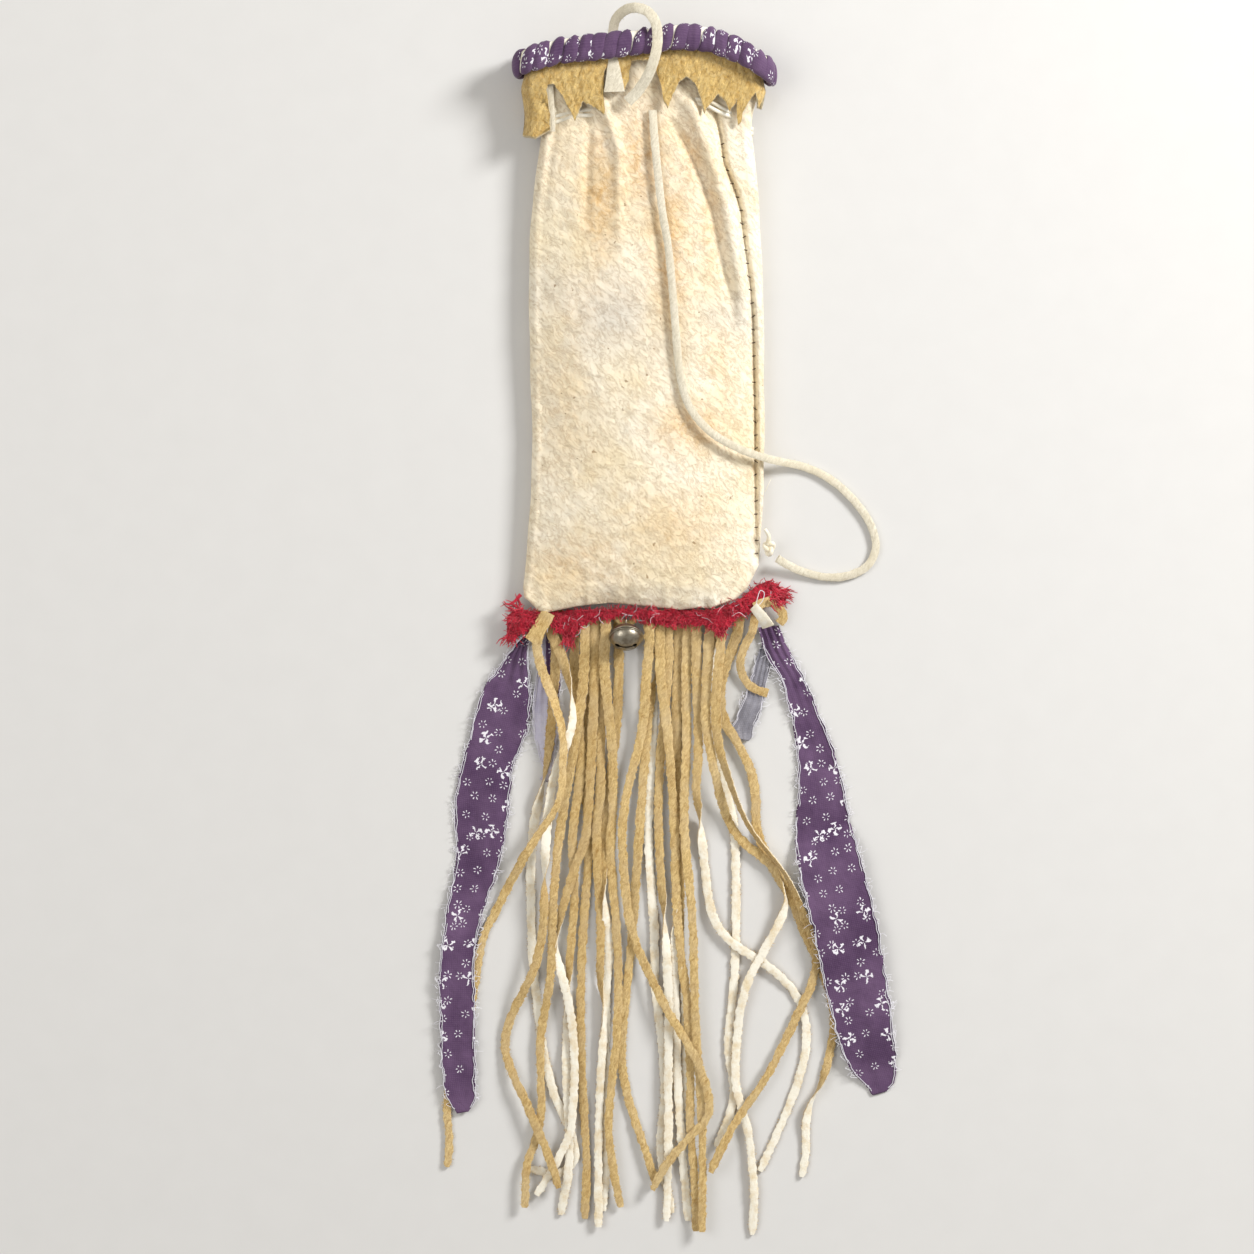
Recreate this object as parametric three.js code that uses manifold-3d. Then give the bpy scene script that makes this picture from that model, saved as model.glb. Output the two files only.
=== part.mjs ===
// Fringed hide medicine bag, lying on its back with the mouth towards +Y.
// Units are millimetres, +Z is up, and the bag rests on z = 0.
import * as THREE from "three";
import { mergeVertices } from "three/addons/utils/BufferGeometryUtils.js";
import Module from "manifold-3d";

// Driving dimensions
const HIDE = 1.5; // thickness of the pouch wall
const GAP = 0.3; // air left between pieces that touch
const THONG = 1.25; // thickness of a cut thong
const THONG_WIDTH = 4.4;
const THONG_STEPS = 16; // straight runs along one fringe thong
const CLOTH = 0.7; // thickness of the calico
const RIM_AXIAL = 6.6; // half width of the rolled rim, along Y
const WRAP_TURNS = 22;
const BELL_RADIUS = 8; // at its seam
const BELL_HALF_HEIGHT = 6.2; // the bell is flatter than a ball
const BELL_WALL = 0.8;
const BELL_CENTRE = [-20.2, -5.8, 11];
const BELL_TILT = 36; // degrees that the slot end is lifted off level
const LOOP_RADIUS = 2.2; // middle of the wire of the loop
const LOOP_WIRE = 0.5;
const BELL_ARM = BELL_HALF_HEIGHT + GAP + LOOP_RADIUS + LOOP_WIRE; // bell centre to the hinge

const material = (color, roughness, metalness = 0) =>
  new THREE.MeshStandardMaterial({ color, roughness, metalness });
const hide = material(0xe9dfc4, 0.85);
const suede = material(0xd9b565, 0.95);
const paleHide = material(0xe6dcc2, 0.8);
const calico = material(0x5b4268, 0.9);
const reverse = material(0xa7a2b4, 0.9);
const wool = material(0xc4122f, 0.95);
const nickel = material(0x8b8778, 0.35, 1);

const wasm = await Module();
wasm.setup();

const bag = new THREE.Group();
function add(name, geometry, finish) {
  const mesh = new THREE.Mesh(geometry, finish);
  mesh.name = name;
  bag.add(mesh);
  return mesh;
}

// ---- general shapes ----

// A closed skin through equal rings of points; "wrap" joins the last ring to the first.
function loft(rings, wrap = false) {
  const n = rings[0].length;
  const positions = rings.flat().flatMap((p) => [p.x, p.y, p.z]);
  const index = [];
  const last = wrap ? rings.length : rings.length - 1;
  for (let i = 0; i < last; i++) {
    const a = i * n;
    const b = ((i + 1) % rings.length) * n;
    for (let j = 0; j < n; j++) {
      const k = (j + 1) % n;
      index.push(a + j, b + j, b + k, a + j, b + k, a + k);
    }
  }
  if (!wrap) {
    const end = (rings.length - 1) * n;
    for (let j = 1; j < n - 1; j++) {
      index.push(0, j, j + 1);
      index.push(end, end + j + 1, end + j);
    }
  }
  if (signedVolume(positions, index) < 0) index.reverse();
  const geometry = new THREE.BufferGeometry();
  geometry.setAttribute("position", new THREE.Float32BufferAttribute(positions, 3));
  geometry.setIndex(index);
  geometry.computeVertexNormals();
  return geometry;
}

function signedVolume(positions, index) {
  const corner = (k) => new THREE.Vector3().fromArray(positions, 3 * index[k]);
  let sum = 0;
  for (let i = 0; i < index.length; i += 3) {
    sum += corner(i).dot(corner(i + 1).cross(corner(i + 2)));
  }
  return sum;
}

function solidOf(geometry) {
  const bare = new THREE.BufferGeometry();
  bare.setAttribute("position", geometry.getAttribute("position").clone());
  bare.setIndex(geometry.getIndex());
  const merged = mergeVertices(bare, 1e-4);
  return new wasm.Manifold(
    new wasm.Mesh({
      numProp: 3,
      vertProperties: new Float32Array(merged.attributes.position.array),
      triVerts: new Uint32Array(merged.index.array),
    }),
  );
}

function geometryOf(solid) {
  const mesh = solid.getMesh();
  const geometry = new THREE.BufferGeometry();
  geometry.setAttribute("position", new THREE.Float32BufferAttribute(mesh.vertProperties, 3));
  geometry.setIndex(new THREE.BufferAttribute(mesh.triVerts, 1));
  geometry.computeVertexNormals();
  return geometry;
}

const lerp = THREE.MathUtils.lerp;

// Value of a list of [x, value] pairs at x, with straight runs between them.
function along(list, x) {
  let i = 1;
  while (i < list.length - 1 && x > list[i][0]) i++;
  const [x0, v0] = list[i - 1];
  const [x1, v1] = list[i];
  return lerp(v0, v1, THREE.MathUtils.clamp((x - x0) / (x1 - x0), 0, 1));
}

// ---- the pouch: a flattened sack, open at the mouth ----

// Height of the rim's middle line along the mouth: it bows up towards the right of centre.
const rimArch = [[-78, 279], [-53, 286], [-33, 288], [-13, 290.5], [5, 293], [20, 292], [36, 286], [56, 274]];
const archTop = 290;

// From the bottom seam to the mouth: y, left, right, back, front, edge share, share of the arch.
// The edge share is how much of the thickness is left at the side seams.
const pouchRows = [
  [8.75, -55, 24, 6, 9.6, 1, 0],
  [12.75, -68, 34.2, 4, 12.4, 0.8, 0],
  [18.75, -71, 40.7, 1.6, 15.4, 0.6, 0],
  [30, -70.8, 46, 0, 18, 0.5, 0],
  [52, -68.8, 48, 0, 20.5, 0.45, 0],
  [88, -67.3, 49, 0, 22, 0.45, 0],
  [123, -68, 49, 0, 22, 0.45, 0],
  [158, -69, 48.8, 0, 21, 0.5, 0],
  [193, -68.5, 47.5, 0, 19.5, 0.55, 0],
  [220, -66.5, 45.5, 0.8, 18.2, 0.65, 0],
  [238, -64, 43.5, 2.6, 17.4, 0.75, 0],
  [248, -62.5, 42, 4.2, 16.8, 0.8, 0],
  [258, -64, 43, 5.2, 16.6, 0.85, 0.2],
  [267, -67, 45.2, 6.6, 16.7, 0.9, 0.5],
  [283, -68.4, 45.8, 8.2, 16.8, 1, 1],
  [293, -68.4, 45.8, 8.2, 16.8, 1, 1],
];

const sectionOf = ([, left, right, back, front, edge]) => ({ left, right, back, front, edge });
const grown = (s, by) => ({
  left: s.left - by,
  right: s.right + by,
  back: s.back - by,
  front: s.front + by,
  edge: s.edge,
});

// A point of the flattened section: u runs 0..1 along the back, 1..2 round the right side,
// 2..3 along the front and 3..4 round the left side.
function ovalPoint(s, u) {
  const edgeHeight = (s.front - s.back) * s.edge;
  const r = edgeHeight / 2;
  const dome = s.front - s.back - edgeHeight;
  const from = s.left + r;
  const to = s.right - r;
  const turn = (u % 1) * Math.PI;
  if (u < 1) return { x: lerp(from, to, u), z: s.back };
  if (u < 2) return { x: to + r * Math.sin(turn), z: s.back + r - r * Math.cos(turn) };
  if (u < 3) {
    const side = 2 * (u - 2) - 1;
    return { x: lerp(to, from, u - 2), z: s.back + edgeHeight + dome * (1 - side ** 2) };
  }
  return { x: from - r * Math.sin(turn), z: s.back + r + r * Math.cos(turn) };
}

// Stations round a section: counts along the back, each side and the front.
function stations(backCount, sideCount, frontCount) {
  const list = [];
  [backCount, sideCount, frontCount, sideCount].forEach((count, leg) => {
    for (let i = 0; i < count; i++) list.push(leg + i / count);
  });
  return list;
}

const archLift = (x, share) => share * (along(rimArch, x) - archTop);

// The bottom seam waves a little from side to side; rows above it follow less and less.
const seamWave = [[-70, 1.5], [-61, -1.5], [-53, 0], [-43, 2], [-28, 3.5], [-13, 2], [7, 0], [17, 1], [30, 0]];
const seamLift = (x, y) => along(seamWave, x) * THREE.MathUtils.clamp((26 - y) / 17.25, 0, 1);

function pouchRing(row, inset) {
  const section = grown(sectionOf(row), -inset);
  return stations(5, 4, 8).map((u) => {
    const { x, z } = ovalPoint(section, u);
    return new THREE.Vector3(x, row[0] + archLift(x, row[6]) + seamLift(x, row[0]), z);
  });
}

const outerSkin = pouchRows.map((row) => pouchRing(row, 0));
const liningRows = pouchRows.slice(2).reverse();
const innerSkin = liningRows.map((row) => pouchRing(row, HIDE));
add("bag_body", loft([...outerSkin, ...innerSkin]), hide);

// The pouch's section at height y on the line u, between its rows.
function pouchSectionAt(y, u) {
  const rowY = pouchRows.map((row) => row[0] + archLift(ovalPoint(sectionOf(row), u).x, row[6]));
  let i = 1;
  while (i < pouchRows.length - 1 && y > rowY[i]) i++;
  const t = THREE.MathUtils.clamp((y - rowY[i - 1]) / (rowY[i] - rowY[i - 1]), 0, 1);
  return sectionOf(pouchRows[i].map((v, k) => lerp(pouchRows[i - 1][k], v, t)));
}

// ---- the rolled rim: a hide roll round the mouth, wrapped in calico ----

const rimInner = { left: -71.2, right: 49.2, back: 6.3, front: 20.5, edge: 1 };
const rimOuter = { left: -77.2, right: 55.2, back: 0.4, front: 26.4, edge: 1 };

// A point of the roll: u round the mouth, phi round the roll, inset from its outside.
function rollPoint(u, phi, inset) {
  const a = ovalPoint(rimInner, u);
  const b = ovalPoint(rimOuter, u);
  const boxy = (v) => Math.sign(v) * Math.abs(v) ** 0.75;
  const radial = new THREE.Vector3(b.x - a.x, 0, b.z - a.z);
  const half = radial.length() / 2;
  const share = (half - inset) / half;
  const middle = new THREE.Vector3((a.x + b.x) / 2, 0, (a.z + b.z) / 2);
  const p = middle.addScaledVector(radial, 0.5 * share * boxy(Math.sin(phi)));
  p.y = along(rimArch, p.x) + (RIM_AXIAL - inset) * boxy(Math.cos(phi));
  return p;
}

const ROLL_SIDES = 8;
const wrapInset = CLOTH + 1.1;
const rollRing = (u) =>
  Array.from({ length: ROLL_SIDES }, (_, j) => rollPoint(u, (j / ROLL_SIDES) * 2 * Math.PI, wrapInset));
add("rim_core_roll", loft(stations(12, 6, 12).map(rollRing), true), paleHide);

// Equal steps of length round the mouth, given as u.
const roundMouth = (() => {
  const fine = stations(40, 24, 40);
  const points = fine.map((u) => rollPoint(u, 0, 0));
  const lengths = [0];
  fine.forEach((_, i) => {
    lengths.push(lengths[i] + points[i].distanceTo(points[(i + 1) % points.length]));
  });
  const total = lengths[fine.length];
  return (share) => {
    const want = (((share % 1) + 1) % 1) * total;
    let i = 0;
    while (lengths[i + 1] < want) i++;
    const t = (want - lengths[i]) / (lengths[i + 1] - lengths[i]);
    const next = i + 1 < fine.length ? fine[i + 1] : 4;
    return lerp(fine[i], next, t) % 4;
  };
})();

// The calico strip winds round the roll with narrow gaps between its turns.
const wrapSteps = WRAP_TURNS * ROLL_SIDES;
const wrapHalf = 0.34 / WRAP_TURNS;
const wrapRings = [];
for (let k = 0; k < wrapSteps - ROLL_SIDES; k++) {
  const phi = (k / ROLL_SIDES) * 2 * Math.PI;
  const share = 0.27 + k / wrapSteps;
  const before = roundMouth(share - wrapHalf);
  const after = roundMouth(share + wrapHalf);
  wrapRings.push([
    rollPoint(before, phi, 0),
    rollPoint(after, phi, 0),
    rollPoint(after, phi, CLOTH),
    rollPoint(before, phi, CLOTH),
  ]);
}
add("rim_calico_wrap", loft(wrapRings), calico);

// ---- suede collar with a toothed lower edge ----

// Stations round the neck with the height of the lower edge, the front ones from right to left.
const frontTeeth = [
  [42, 258], [40, 249], [36.5, 263], [33, 256], [27.5, 264], [21, 256], [14, 272], [8, 272],
  [3.5, 257], [0, 258], [-5, 277], [-9, 266], [-20, 266], [-30, 266], [-34, 254], [-44, 260],
  [-50, 251], [-56, 268],
];
const collarSide = { left: -69.9, right: 47.9, back: 7.1, front: 17.9, edge: 1 };
const collarFrontU = (x) => {
  const r = (collarSide.front - collarSide.back) / 2;
  return 2 + (collarSide.right - r - x) / (collarSide.right - collarSide.left - 2 * r);
};
const collarStations = [
  ...[0, 0.2, 0.4, 0.6, 0.8].map((u) => [u, 262]),
  ...[1, 1.25, 1.5].map((u) => [u, 258]),
  ...[1.75, 1.98].map((u) => [u, 249]),
  ...frontTeeth.map(([x, y]) => [collarFrontU(x), y]),
  ...[3, 3.25, 3.5].map((u) => [u, 242]),
  [3.75, 256],
];

const COLLAR = 1.2;
function collarRing([u, tip]) {
  const outer = [];
  const inner = [];
  const arch = along(rimArch, ovalPoint(rimInner, u).x);
  const levels = [arch - 4, arch - 8, arch - 16, Math.min(tip, arch - 17)];
  levels.forEach((y, level) => {
    const clear = level < 2 ? GAP + 0.1 : HIDE + 3 * GAP;
    const section = pouchSectionAt(y, u);
    const flare = u > 3 || u < 0.1 ? 5 * (level / 3) : 0;
    const place = (by) => {
      const s = grown(section, by);
      const { x, z } = ovalPoint({ ...s, left: s.left - flare }, u);
      return new THREE.Vector3(x, y, Math.max(z, 0.4 + (by < 2.2 ? COLLAR : 0)));
    };
    inner.push(place(clear));
    outer.push(place(clear + COLLAR));
  });
  return [...outer, ...inner.reverse()];
}
add("suede_collar", loft(collarStations.map(collarRing), true), suede);

// ---- the drawstring lace round the neck, hidden under the collar but for its ends ----

const LACE_DROP = 31; // below the rim's middle line
const LACE_HALF = 2;
const drawstringRing = (u) => {
  const x = ovalPoint(rimInner, u).x;
  const y = along(rimArch, x) - LACE_DROP;
  const at = (dy, by) => {
    const p = ovalPoint(grown(pouchSectionAt(y + dy, u), by), u);
    return new THREE.Vector3(p.x, y + dy, p.z);
  };
  return [
    at(-LACE_HALF, GAP + HIDE - 0.1),
    at(LACE_HALF, GAP + HIDE - 0.1),
    at(LACE_HALF, GAP),
    at(-LACE_HALF, GAP),
  ];
};
add("neck_drawstring", loft(stations(6, 4, 9).map(drawstringRing), true), paleHide);

// ---- what has been laid down so far, as a field of heights over the floor ----

const CELL = 1;
const FIELD = { left: -140, near: -330, columns: 280, rows: 660 };
const pile = new Float32Array(FIELD.columns * FIELD.rows);
const cellAt = (x, y) =>
  Math.round((y - FIELD.near) / CELL) * FIELD.columns + Math.round((x - FIELD.left) / CELL);

function raisePile(x, y, top) {
  for (let dy = -1; dy <= 1; dy++) {
    for (let dx = -1; dx <= 1; dx++) {
      const cell = cellAt(x + dx * CELL, y + dy * CELL);
      pile[cell] = Math.max(pile[cell], top);
    }
  }
}

// Lays a flat strip, given as pairs of left and right edge points, on the pile.
// The strip bridges hollows: its slope stays under MAX_SLOPE. Returns the underside at each pair.
const MAX_SLOPE = 0.3;
const FINE = 12; // samples along each straight run
function layDown(pairs, thickness) {
  const spot = (k, t, s) => {
    const left = pairs[k][0].clone().lerp(pairs[k + 1][0], t);
    const right = pairs[k][1].clone().lerp(pairs[k + 1][1], t);
    return left.lerp(right, s);
  };
  const runs = pairs.length - 1;
  const across = Array.from({ length: 13 }, (_, i) => (i - 1) / 11);
  const fine = [];
  for (let k = 0; k < runs; k++) {
    for (let i = 0; i <= FINE; i++) {
      const t = i / FINE;
      const under = across.map((s) => spot(k, t, s));
      const height = Math.max(...under.map((p) => pile[cellAt(p.x, p.y)]));
      fine.push({ at: k + t, place: spot(k, t, 0.5), height });
    }
  }
  const stationHeights = pairs.map((pair, k) => {
    const middle = pair[0].clone().lerp(pair[1], 0.5);
    let height = 0;
    for (const f of fine) {
      const near = Math.abs(f.at - k) <= 1.001;
      const allowed = near ? 0 : MAX_SLOPE * middle.distanceTo(f.place);
      height = Math.max(height, f.height - allowed);
    }
    return height + GAP;
  });
  for (let k = 0; k < runs; k++) {
    for (let i = 0; i <= FINE; i++) {
      const t = i / FINE;
      const top = lerp(stationHeights[k], stationHeights[k + 1], t) + thickness;
      across.slice(1, -1).forEach((s) => {
        const p = spot(k, t, s);
        raisePile(p.x, p.y, top);
      });
    }
  }
  return stationHeights;
}

function stripRings(pairs, heights, thickness) {
  return pairs.map(([left, right], k) => {
    const z = heights[k];
    return [
      new THREE.Vector3(left.x, left.y, z),
      new THREE.Vector3(right.x, right.y, z),
      new THREE.Vector3(right.x, right.y, z + thickness),
      new THREE.Vector3(left.x, left.y, z + thickness),
    ];
  });
}

// Edge pairs of a strip of even width along a smooth line through hand-set points.
function evenPairs(route, width, steps) {
  const curve = new THREE.CatmullRomCurve3(
    route.map(([x, y]) => new THREE.Vector3(x, y, 0)),
    false,
    "centripetal",
  );
  curve.arcLengthDivisions = 600;
  return curve.getSpacedPoints(steps).map((p, k) => {
    const tangent = curve.getTangentAt(k / steps);
    const side = new THREE.Vector2(-tangent.y, tangent.x).multiplyScalar(width / 2);
    const here = new THREE.Vector2(p.x, p.y);
    return [here.clone().add(side), here.clone().sub(side)];
  });
}

function laidStrip(name, pairs, thickness, finish) {
  const heights = layDown(pairs, thickness);
  return add(name, loft(stripRings(pairs, heights, thickness)), finish);
}

const pairUp = (edges) =>
  edges.map(([ax, ay, bx, by]) => [new THREE.Vector2(ax, ay), new THREE.Vector2(bx, by)]);

// ---- calico ribbons that lie under the fringe ----

laidStrip(
  "ribbon_left_back",
  pairUp([
    [-63, -3, -55, -2], [-63, -12, -53, -13], [-65, -25, -53, -27], [-67, -37, -54, -40],
    [-67, -51, -54, -52], [-65, -62, -56, -63], [-62, -74, -58, -74], [-64, -77, -59, -79],
  ]),
  CLOTH,
  reverse,
);
laidStrip(
  "ribbon_right_back",
  pairUp([
    [49, -7, 55, -11], [45, -17, 52, -21], [42, -29, 50, -32], [38, -38, 48, -42],
    [35, -46, 45, -49], [32, -53, 43, -56], [36, -57, 41, -58],
  ]),
  CLOTH,
  reverse,
);

// ---- the fringe: cut thongs from the bottom seam, each laid over the ones before ----

const fringeRoutes = [
  [[9, 8], [7, -37], [6, -67], [8, -97], [7, -127], [7, -155], [9, -182], [10, -207], [9, -232], [8, -243]],
  [[-38, 8], [-39, -27], [-40, -57], [-40, -87], [-39, -112], [-42, -157], [-43, -202], [-41, -251],
    [-40, -272], [-41, -298]],
  [[25, 8], [23, -37], [25, -57], [31, -87], [34, -102], [35, -145], [34, -180], [31, -211], [34, -236],
    [31, -248], [25, -262]],
  [[-24, 8], [-24, -32], [-25, -50], [-30, -90], [-32, -108], [-31, -137], [-29, -162], [-30, -187],
    [-31, -237], [-30, -267], [-32, -294]],
  [[-55, 8], [-55, -7], [-57, -37], [-59, -62], [-62, -80], [-66, -97], [-68, -117], [-68, -145],
    [-67, -167], [-62, -212], [-57, -233], [-47, -258], [-46, -268], [-54, -275], [-68, -273]],
  [[-46, 8], [-46, -19], [-44, -47], [-43, -67], [-44, -82], [-47, -103], [-46, -137], [-48, -160],
    [-50, -207], [-50, -227], [-49, -252], [-49, -272], [-53, -296]],
  [[6, 8], [6, -17], [5, -47], [5, -82], [6, -107], [5, -132], [4, -162], [5, -205], [7, -252], [11, -299]],
  [[-6, 8], [-6, -17], [-7, -50], [-9, -103], [-8, -127], [-6, -153], [-6, -175], [-4, -195], [-2, -212],
    [-1, -237], [-3, -262], [3, -295]],
  [[1, 8], [1, -17], [-1, -45], [-3, -67], [-4, -97], [-3, -121], [0, -162], [1, -187], [1, -237],
    [1, -266], [0, -299]],
  [[-33, 8], [-33, -17], [-33, -59], [-33, -82], [-35, -103], [-33, -152], [-33, -180], [-31, -195],
    [-33, -227], [-34, -256], [-34, -302]],
  [[-8, 8], [-8, -32], [-10, -57], [-12, -82], [-15, -125], [-18, -165], [-22, -205], [-22, -222],
    [-19, -238], [-10, -265], [-5, -281]],
  [[-36, 8], [-36, -23], [-37, -50], [-39, -90], [-41, -108], [-46, -122], [-54, -150], [-55, -164],
    [-50, -185], [-47, -202], [-46, -224], [-47, -242], [-48, -253], [-53, -265], [-65, -286]],
  [[-3, 8], [-3, -23], [1, -57], [4, -103], [5, -137], [8, -171], [10, -185], [12, -225], [12, -250],
    [14, -277], [15, -304]],
  [[11, 8], [10, -23], [10, -63], [9, -85], [9, -103], [13, -147], [14, -177], [15, -207], [17, -232],
    [18, -256], [18, -304]],
  [[-30, 8], [-31, -19], [-30, -34], [-27, -65], [-27, -94], [-28, -112], [-25, -153], [-24, -180],
    [-25, -207], [-29, -251], [-27, -270], [-23, -292]],
  [[-41, 8], [-41, -14], [-42, -32], [-48, -72], [-54, -108], [-57, -144], [-58, -175], [-63, -207],
    [-63, -245], [-66, -259], [-70, -271], [-71, -292]],
  [[-59, 8], [-58, -2], [-53, -14], [-49, -28], [-47, -41], [-48, -53], [-57, -78], [-61, -121],
    [-62, -153], [-66, -171], [-78, -197], [-81, -210], [-79, -220], [-71, -238], [-59, -266], [-54, -282]],
  [[15, 8], [15, -19], [16, -63], [15, -81], [17, -99], [20, -127], [22, -141], [26, -151], [33, -159],
    [51, -171], [59, -178], [66, -187], [70, -200], [70, -213], [67, -226], [63, -238], [53, -261],
    [47, -274]],
  [[37, 8], [36, -2], [28, -27], [27, -37], [29, -47], [39, -65], [43, -75], [45, -87], [45, -99],
    [48, -110], [60, -132], [71, -158], [77, -171], [82, -185], [84, -200], [82, -215], [78, -229],
    [72, -241], [70, -252], [70, -265], [68, -277]],
  [[22, 8], [21, -15], [20, -32], [20, -50], [25, -77], [28, -89], [32, -100], [38, -108], [52, -120],
    [57, -129], [60, -138], [58, -146], [48, -165], [42, -176], [38, -189], [36, -202], [35, -230],
    [41, -254], [43, -269], [44, -287], [43, -306]],
  [[28, 8], [27, -12], [25, -32], [25, -50], [27, -63], [31, -76], [41, -100], [61, -127], [69, -146],
    [74, -158], [75, -168], [73, -180], [66, -195], [51, -225], [36, -247], [29, -259], [22, -274]],
  [[-9, 8], [-8.6, -8], [-10, -25], [-11, -42], [-13, -56], [-20, -85], [-22, -100], [-22, -112], [-19, -145],
    [-15, -160], [-1, -190], [12, -212], [18, -225], [21, -236], [21, -245], [16, -252], [9, -259],
    [0, -270], [-7, -283]],
  [[-63, 8], [-63, -1], [-65, -10], [-62, -23], [-56, -39], [-52, -55], [-52, -72], [-54, -88],
    [-69, -112], [-86, -144], [-92, -157], [-98, -190], [-105, -217], [-110, -240], [-109, -259],
    [-110, -272]],
];
fringeRoutes.forEach((route, i) => {
  const name = "fringe_thong_" + String(i + 1).padStart(2, "0");
  laidStrip(name, evenPairs(route, THONG_WIDTH, THONG_STEPS), THONG, suede);
});

// ---- ribbons that lie over the fringe, and the thongs that tie them ----

laidStrip(
  "ribbon_left_front",
  pairUp([
    [-67, -2, -63, -1], [-76, -10, -69, -10], [-85, -22, -69, -23], [-92, -32, -68, -36],
    [-96, -44, -69, -48], [-99, -56, -72, -60], [-102, -68, -77, -71], [-105, -80, -78, -82],
    [-106, -94, -79, -94], [-106, -121, -84, -121], [-110, -142, -92, -144], [-114, -170, -96, -168],
    [-114, -193, -96, -192], [-112, -228, -96, -228], [-109, -239, -96, -239], [-105, -245, -99, -244],
  ]),
  CLOTH,
  calico,
);
laidStrip(
  "ribbon_right_front",
  pairUp([
    [46, -1, 56, 0], [50, -14, 62, -13], [57, -26, 70, -28], [62, -43, 76, -43], [66, -69, 86, -69],
    [65, -103, 93, -100], [65, -116, 98, -118], [72, -146, 105, -147], [78, -175, 110, -175],
    [86, -207, 114, -206], [90, -219, 115, -217], [98, -229, 115, -228], [104, -236, 111, -234],
  ]),
  CLOTH,
  calico,
);
laidStrip(
  "short_thong_right",
  evenPairs([[45, 8], [43, -3], [39, -11], [37, -20], [40, -28], [45, -32], [51, -34]], THONG_WIDTH, 9),
  THONG,
  suede,
);

// ---- bell hanger: a short thong that runs down, through the bell's wire loop and back ----

const tilt = THREE.MathUtils.degToRad(BELL_TILT);
const bellCentre = new THREE.Vector3(...BELL_CENTRE);
const slotWay = new THREE.Vector3(0, -Math.cos(tilt), Math.sin(tilt));
const hingePoint = bellCentre.clone().addScaledVector(slotWay, -BELL_ARM);
const hangerRoute = [
  [-26.2, 7.6], [-25.4, 4.6], [-23.8, hingePoint.y + 0.4], [-22, hingePoint.y], [-18.4, hingePoint.y],
  [-16.6, hingePoint.y + 0.4], [-15, 4.6], [-14.2, 7.6],
];
const HANGER_HALF = 1.2;
const hangerPairs = hangerRoute.map(([x, y], k) => {
  const before = hangerRoute[Math.max(k - 1, 0)];
  const after = hangerRoute[Math.min(k + 1, hangerRoute.length - 1)];
  const way = new THREE.Vector2(after[0] - before[0], after[1] - before[1]).normalize();
  const side = new THREE.Vector2(-way.y, way.x).multiplyScalar(HANGER_HALF);
  const here = new THREE.Vector2(x, y);
  return [here.clone().add(side), here.clone().sub(side)];
});
const hangerHeight = hingePoint.z - THONG / 2;
const hangerHeights = hangerPairs.map(() => hangerHeight);
add("bell_hanger_thong", loft(stripRings(hangerPairs, hangerHeights, THONG)), suede);
for (const [left, right] of hangerPairs) {
  for (let s = 0; s <= 1; s += 0.1) {
    const p = left.clone().lerp(right, s);
    raisePile(p.x, p.y, hangerHeight + THONG);
  }
}

// ---- torn strip of red wool cloth caught in the bottom seam ----

laidStrip(
  "red_wool_strip",
  pairUp([
    [-80, 4, -80, -9], [-76, 8, -76, -7], [-71, 8, -71, -3], [-65, 7, -65, 0], [-59, 7, -59, 1],
    [-53, 7, -53, -4], [-49, 7.8, -49, -8], [-45, 8, -45, -3], [-38, 8, -38, 2], [-28, 8.2, -28, 5],
    [-22, 8.2, -22, 5.2], [-13, 8.2, -13, 5], [-3, 7.8, -3, 1], [4, 7.8, 4, 0], [17, 7.8, 17, 1],
    [23, 7.8, 23, -2], [28, 9.5, 28, -3], [33, 11, 33, 2], [39, 15, 39, 6], [45, 20, 45, 9],
    [51, 22, 51, 11], [55, 21, 55, 13], [60, 16, 60, 11],
  ]),
  1.1,
  wool,
);
laidStrip(
  "tie_thong_left",
  evenPairs([[-59, 6.5], [-62, 1], [-65, -4], [-68, -8]], 7, 4),
  THONG,
  suede,
);
laidStrip(
  "tie_thong_right",
  evenPairs([[44, 9], [49, 11.5], [54, 11], [57.5, 7.5], [58.5, 4], [56.5, 1]], THONG_WIDTH, 7),
  THONG,
  suede,
);

// ---- jingle bell: two pressed half shells, a wire loop and a loose pellet ----

const bell = new THREE.Group();
bell.position.copy(bellCentre);
// The bell's own +Z points away from the slot, towards the loop.
bell.quaternion.setFromUnitVectors(new THREE.Vector3(0, 0, 1), slotWay.clone().negate());
bag.add(bell);

const SHELL_STEPS = 5;
const SHELL_ROUND = 20;
const SEAM_LIP = 0.7;
function halfShell(direction) {
  const rim = 0.2; // half of the gap between the two halves
  const outer = [];
  const inner = [];
  for (let i = 0; i <= SHELL_STEPS; i++) {
    const angle = (i / SHELL_STEPS) * (Math.PI / 2);
    const [across, up] = [Math.sin(angle), Math.cos(angle)];
    outer.push([BELL_RADIUS * across, rim + (BELL_HALF_HEIGHT - rim) * up]);
    inner.push([(BELL_RADIUS - BELL_WALL) * across, rim + (BELL_HALF_HEIGHT - BELL_WALL - rim) * up]);
  }
  outer.pop();
  const lip = [
    [BELL_RADIUS - 0.1, rim + 0.8],
    [BELL_RADIUS + SEAM_LIP, rim + 0.7],
    [BELL_RADIUS + SEAM_LIP, rim],
  ];
  const profile = [...outer, ...lip, ...inner.reverse()];
  const points = profile.map(([r, h]) => new THREE.Vector2(r, h * direction));
  if (direction > 0) points.reverse();
  return new THREE.LatheGeometry([...points, points[0]], SHELL_ROUND).rotateX(Math.PI / 2);
}

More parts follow.
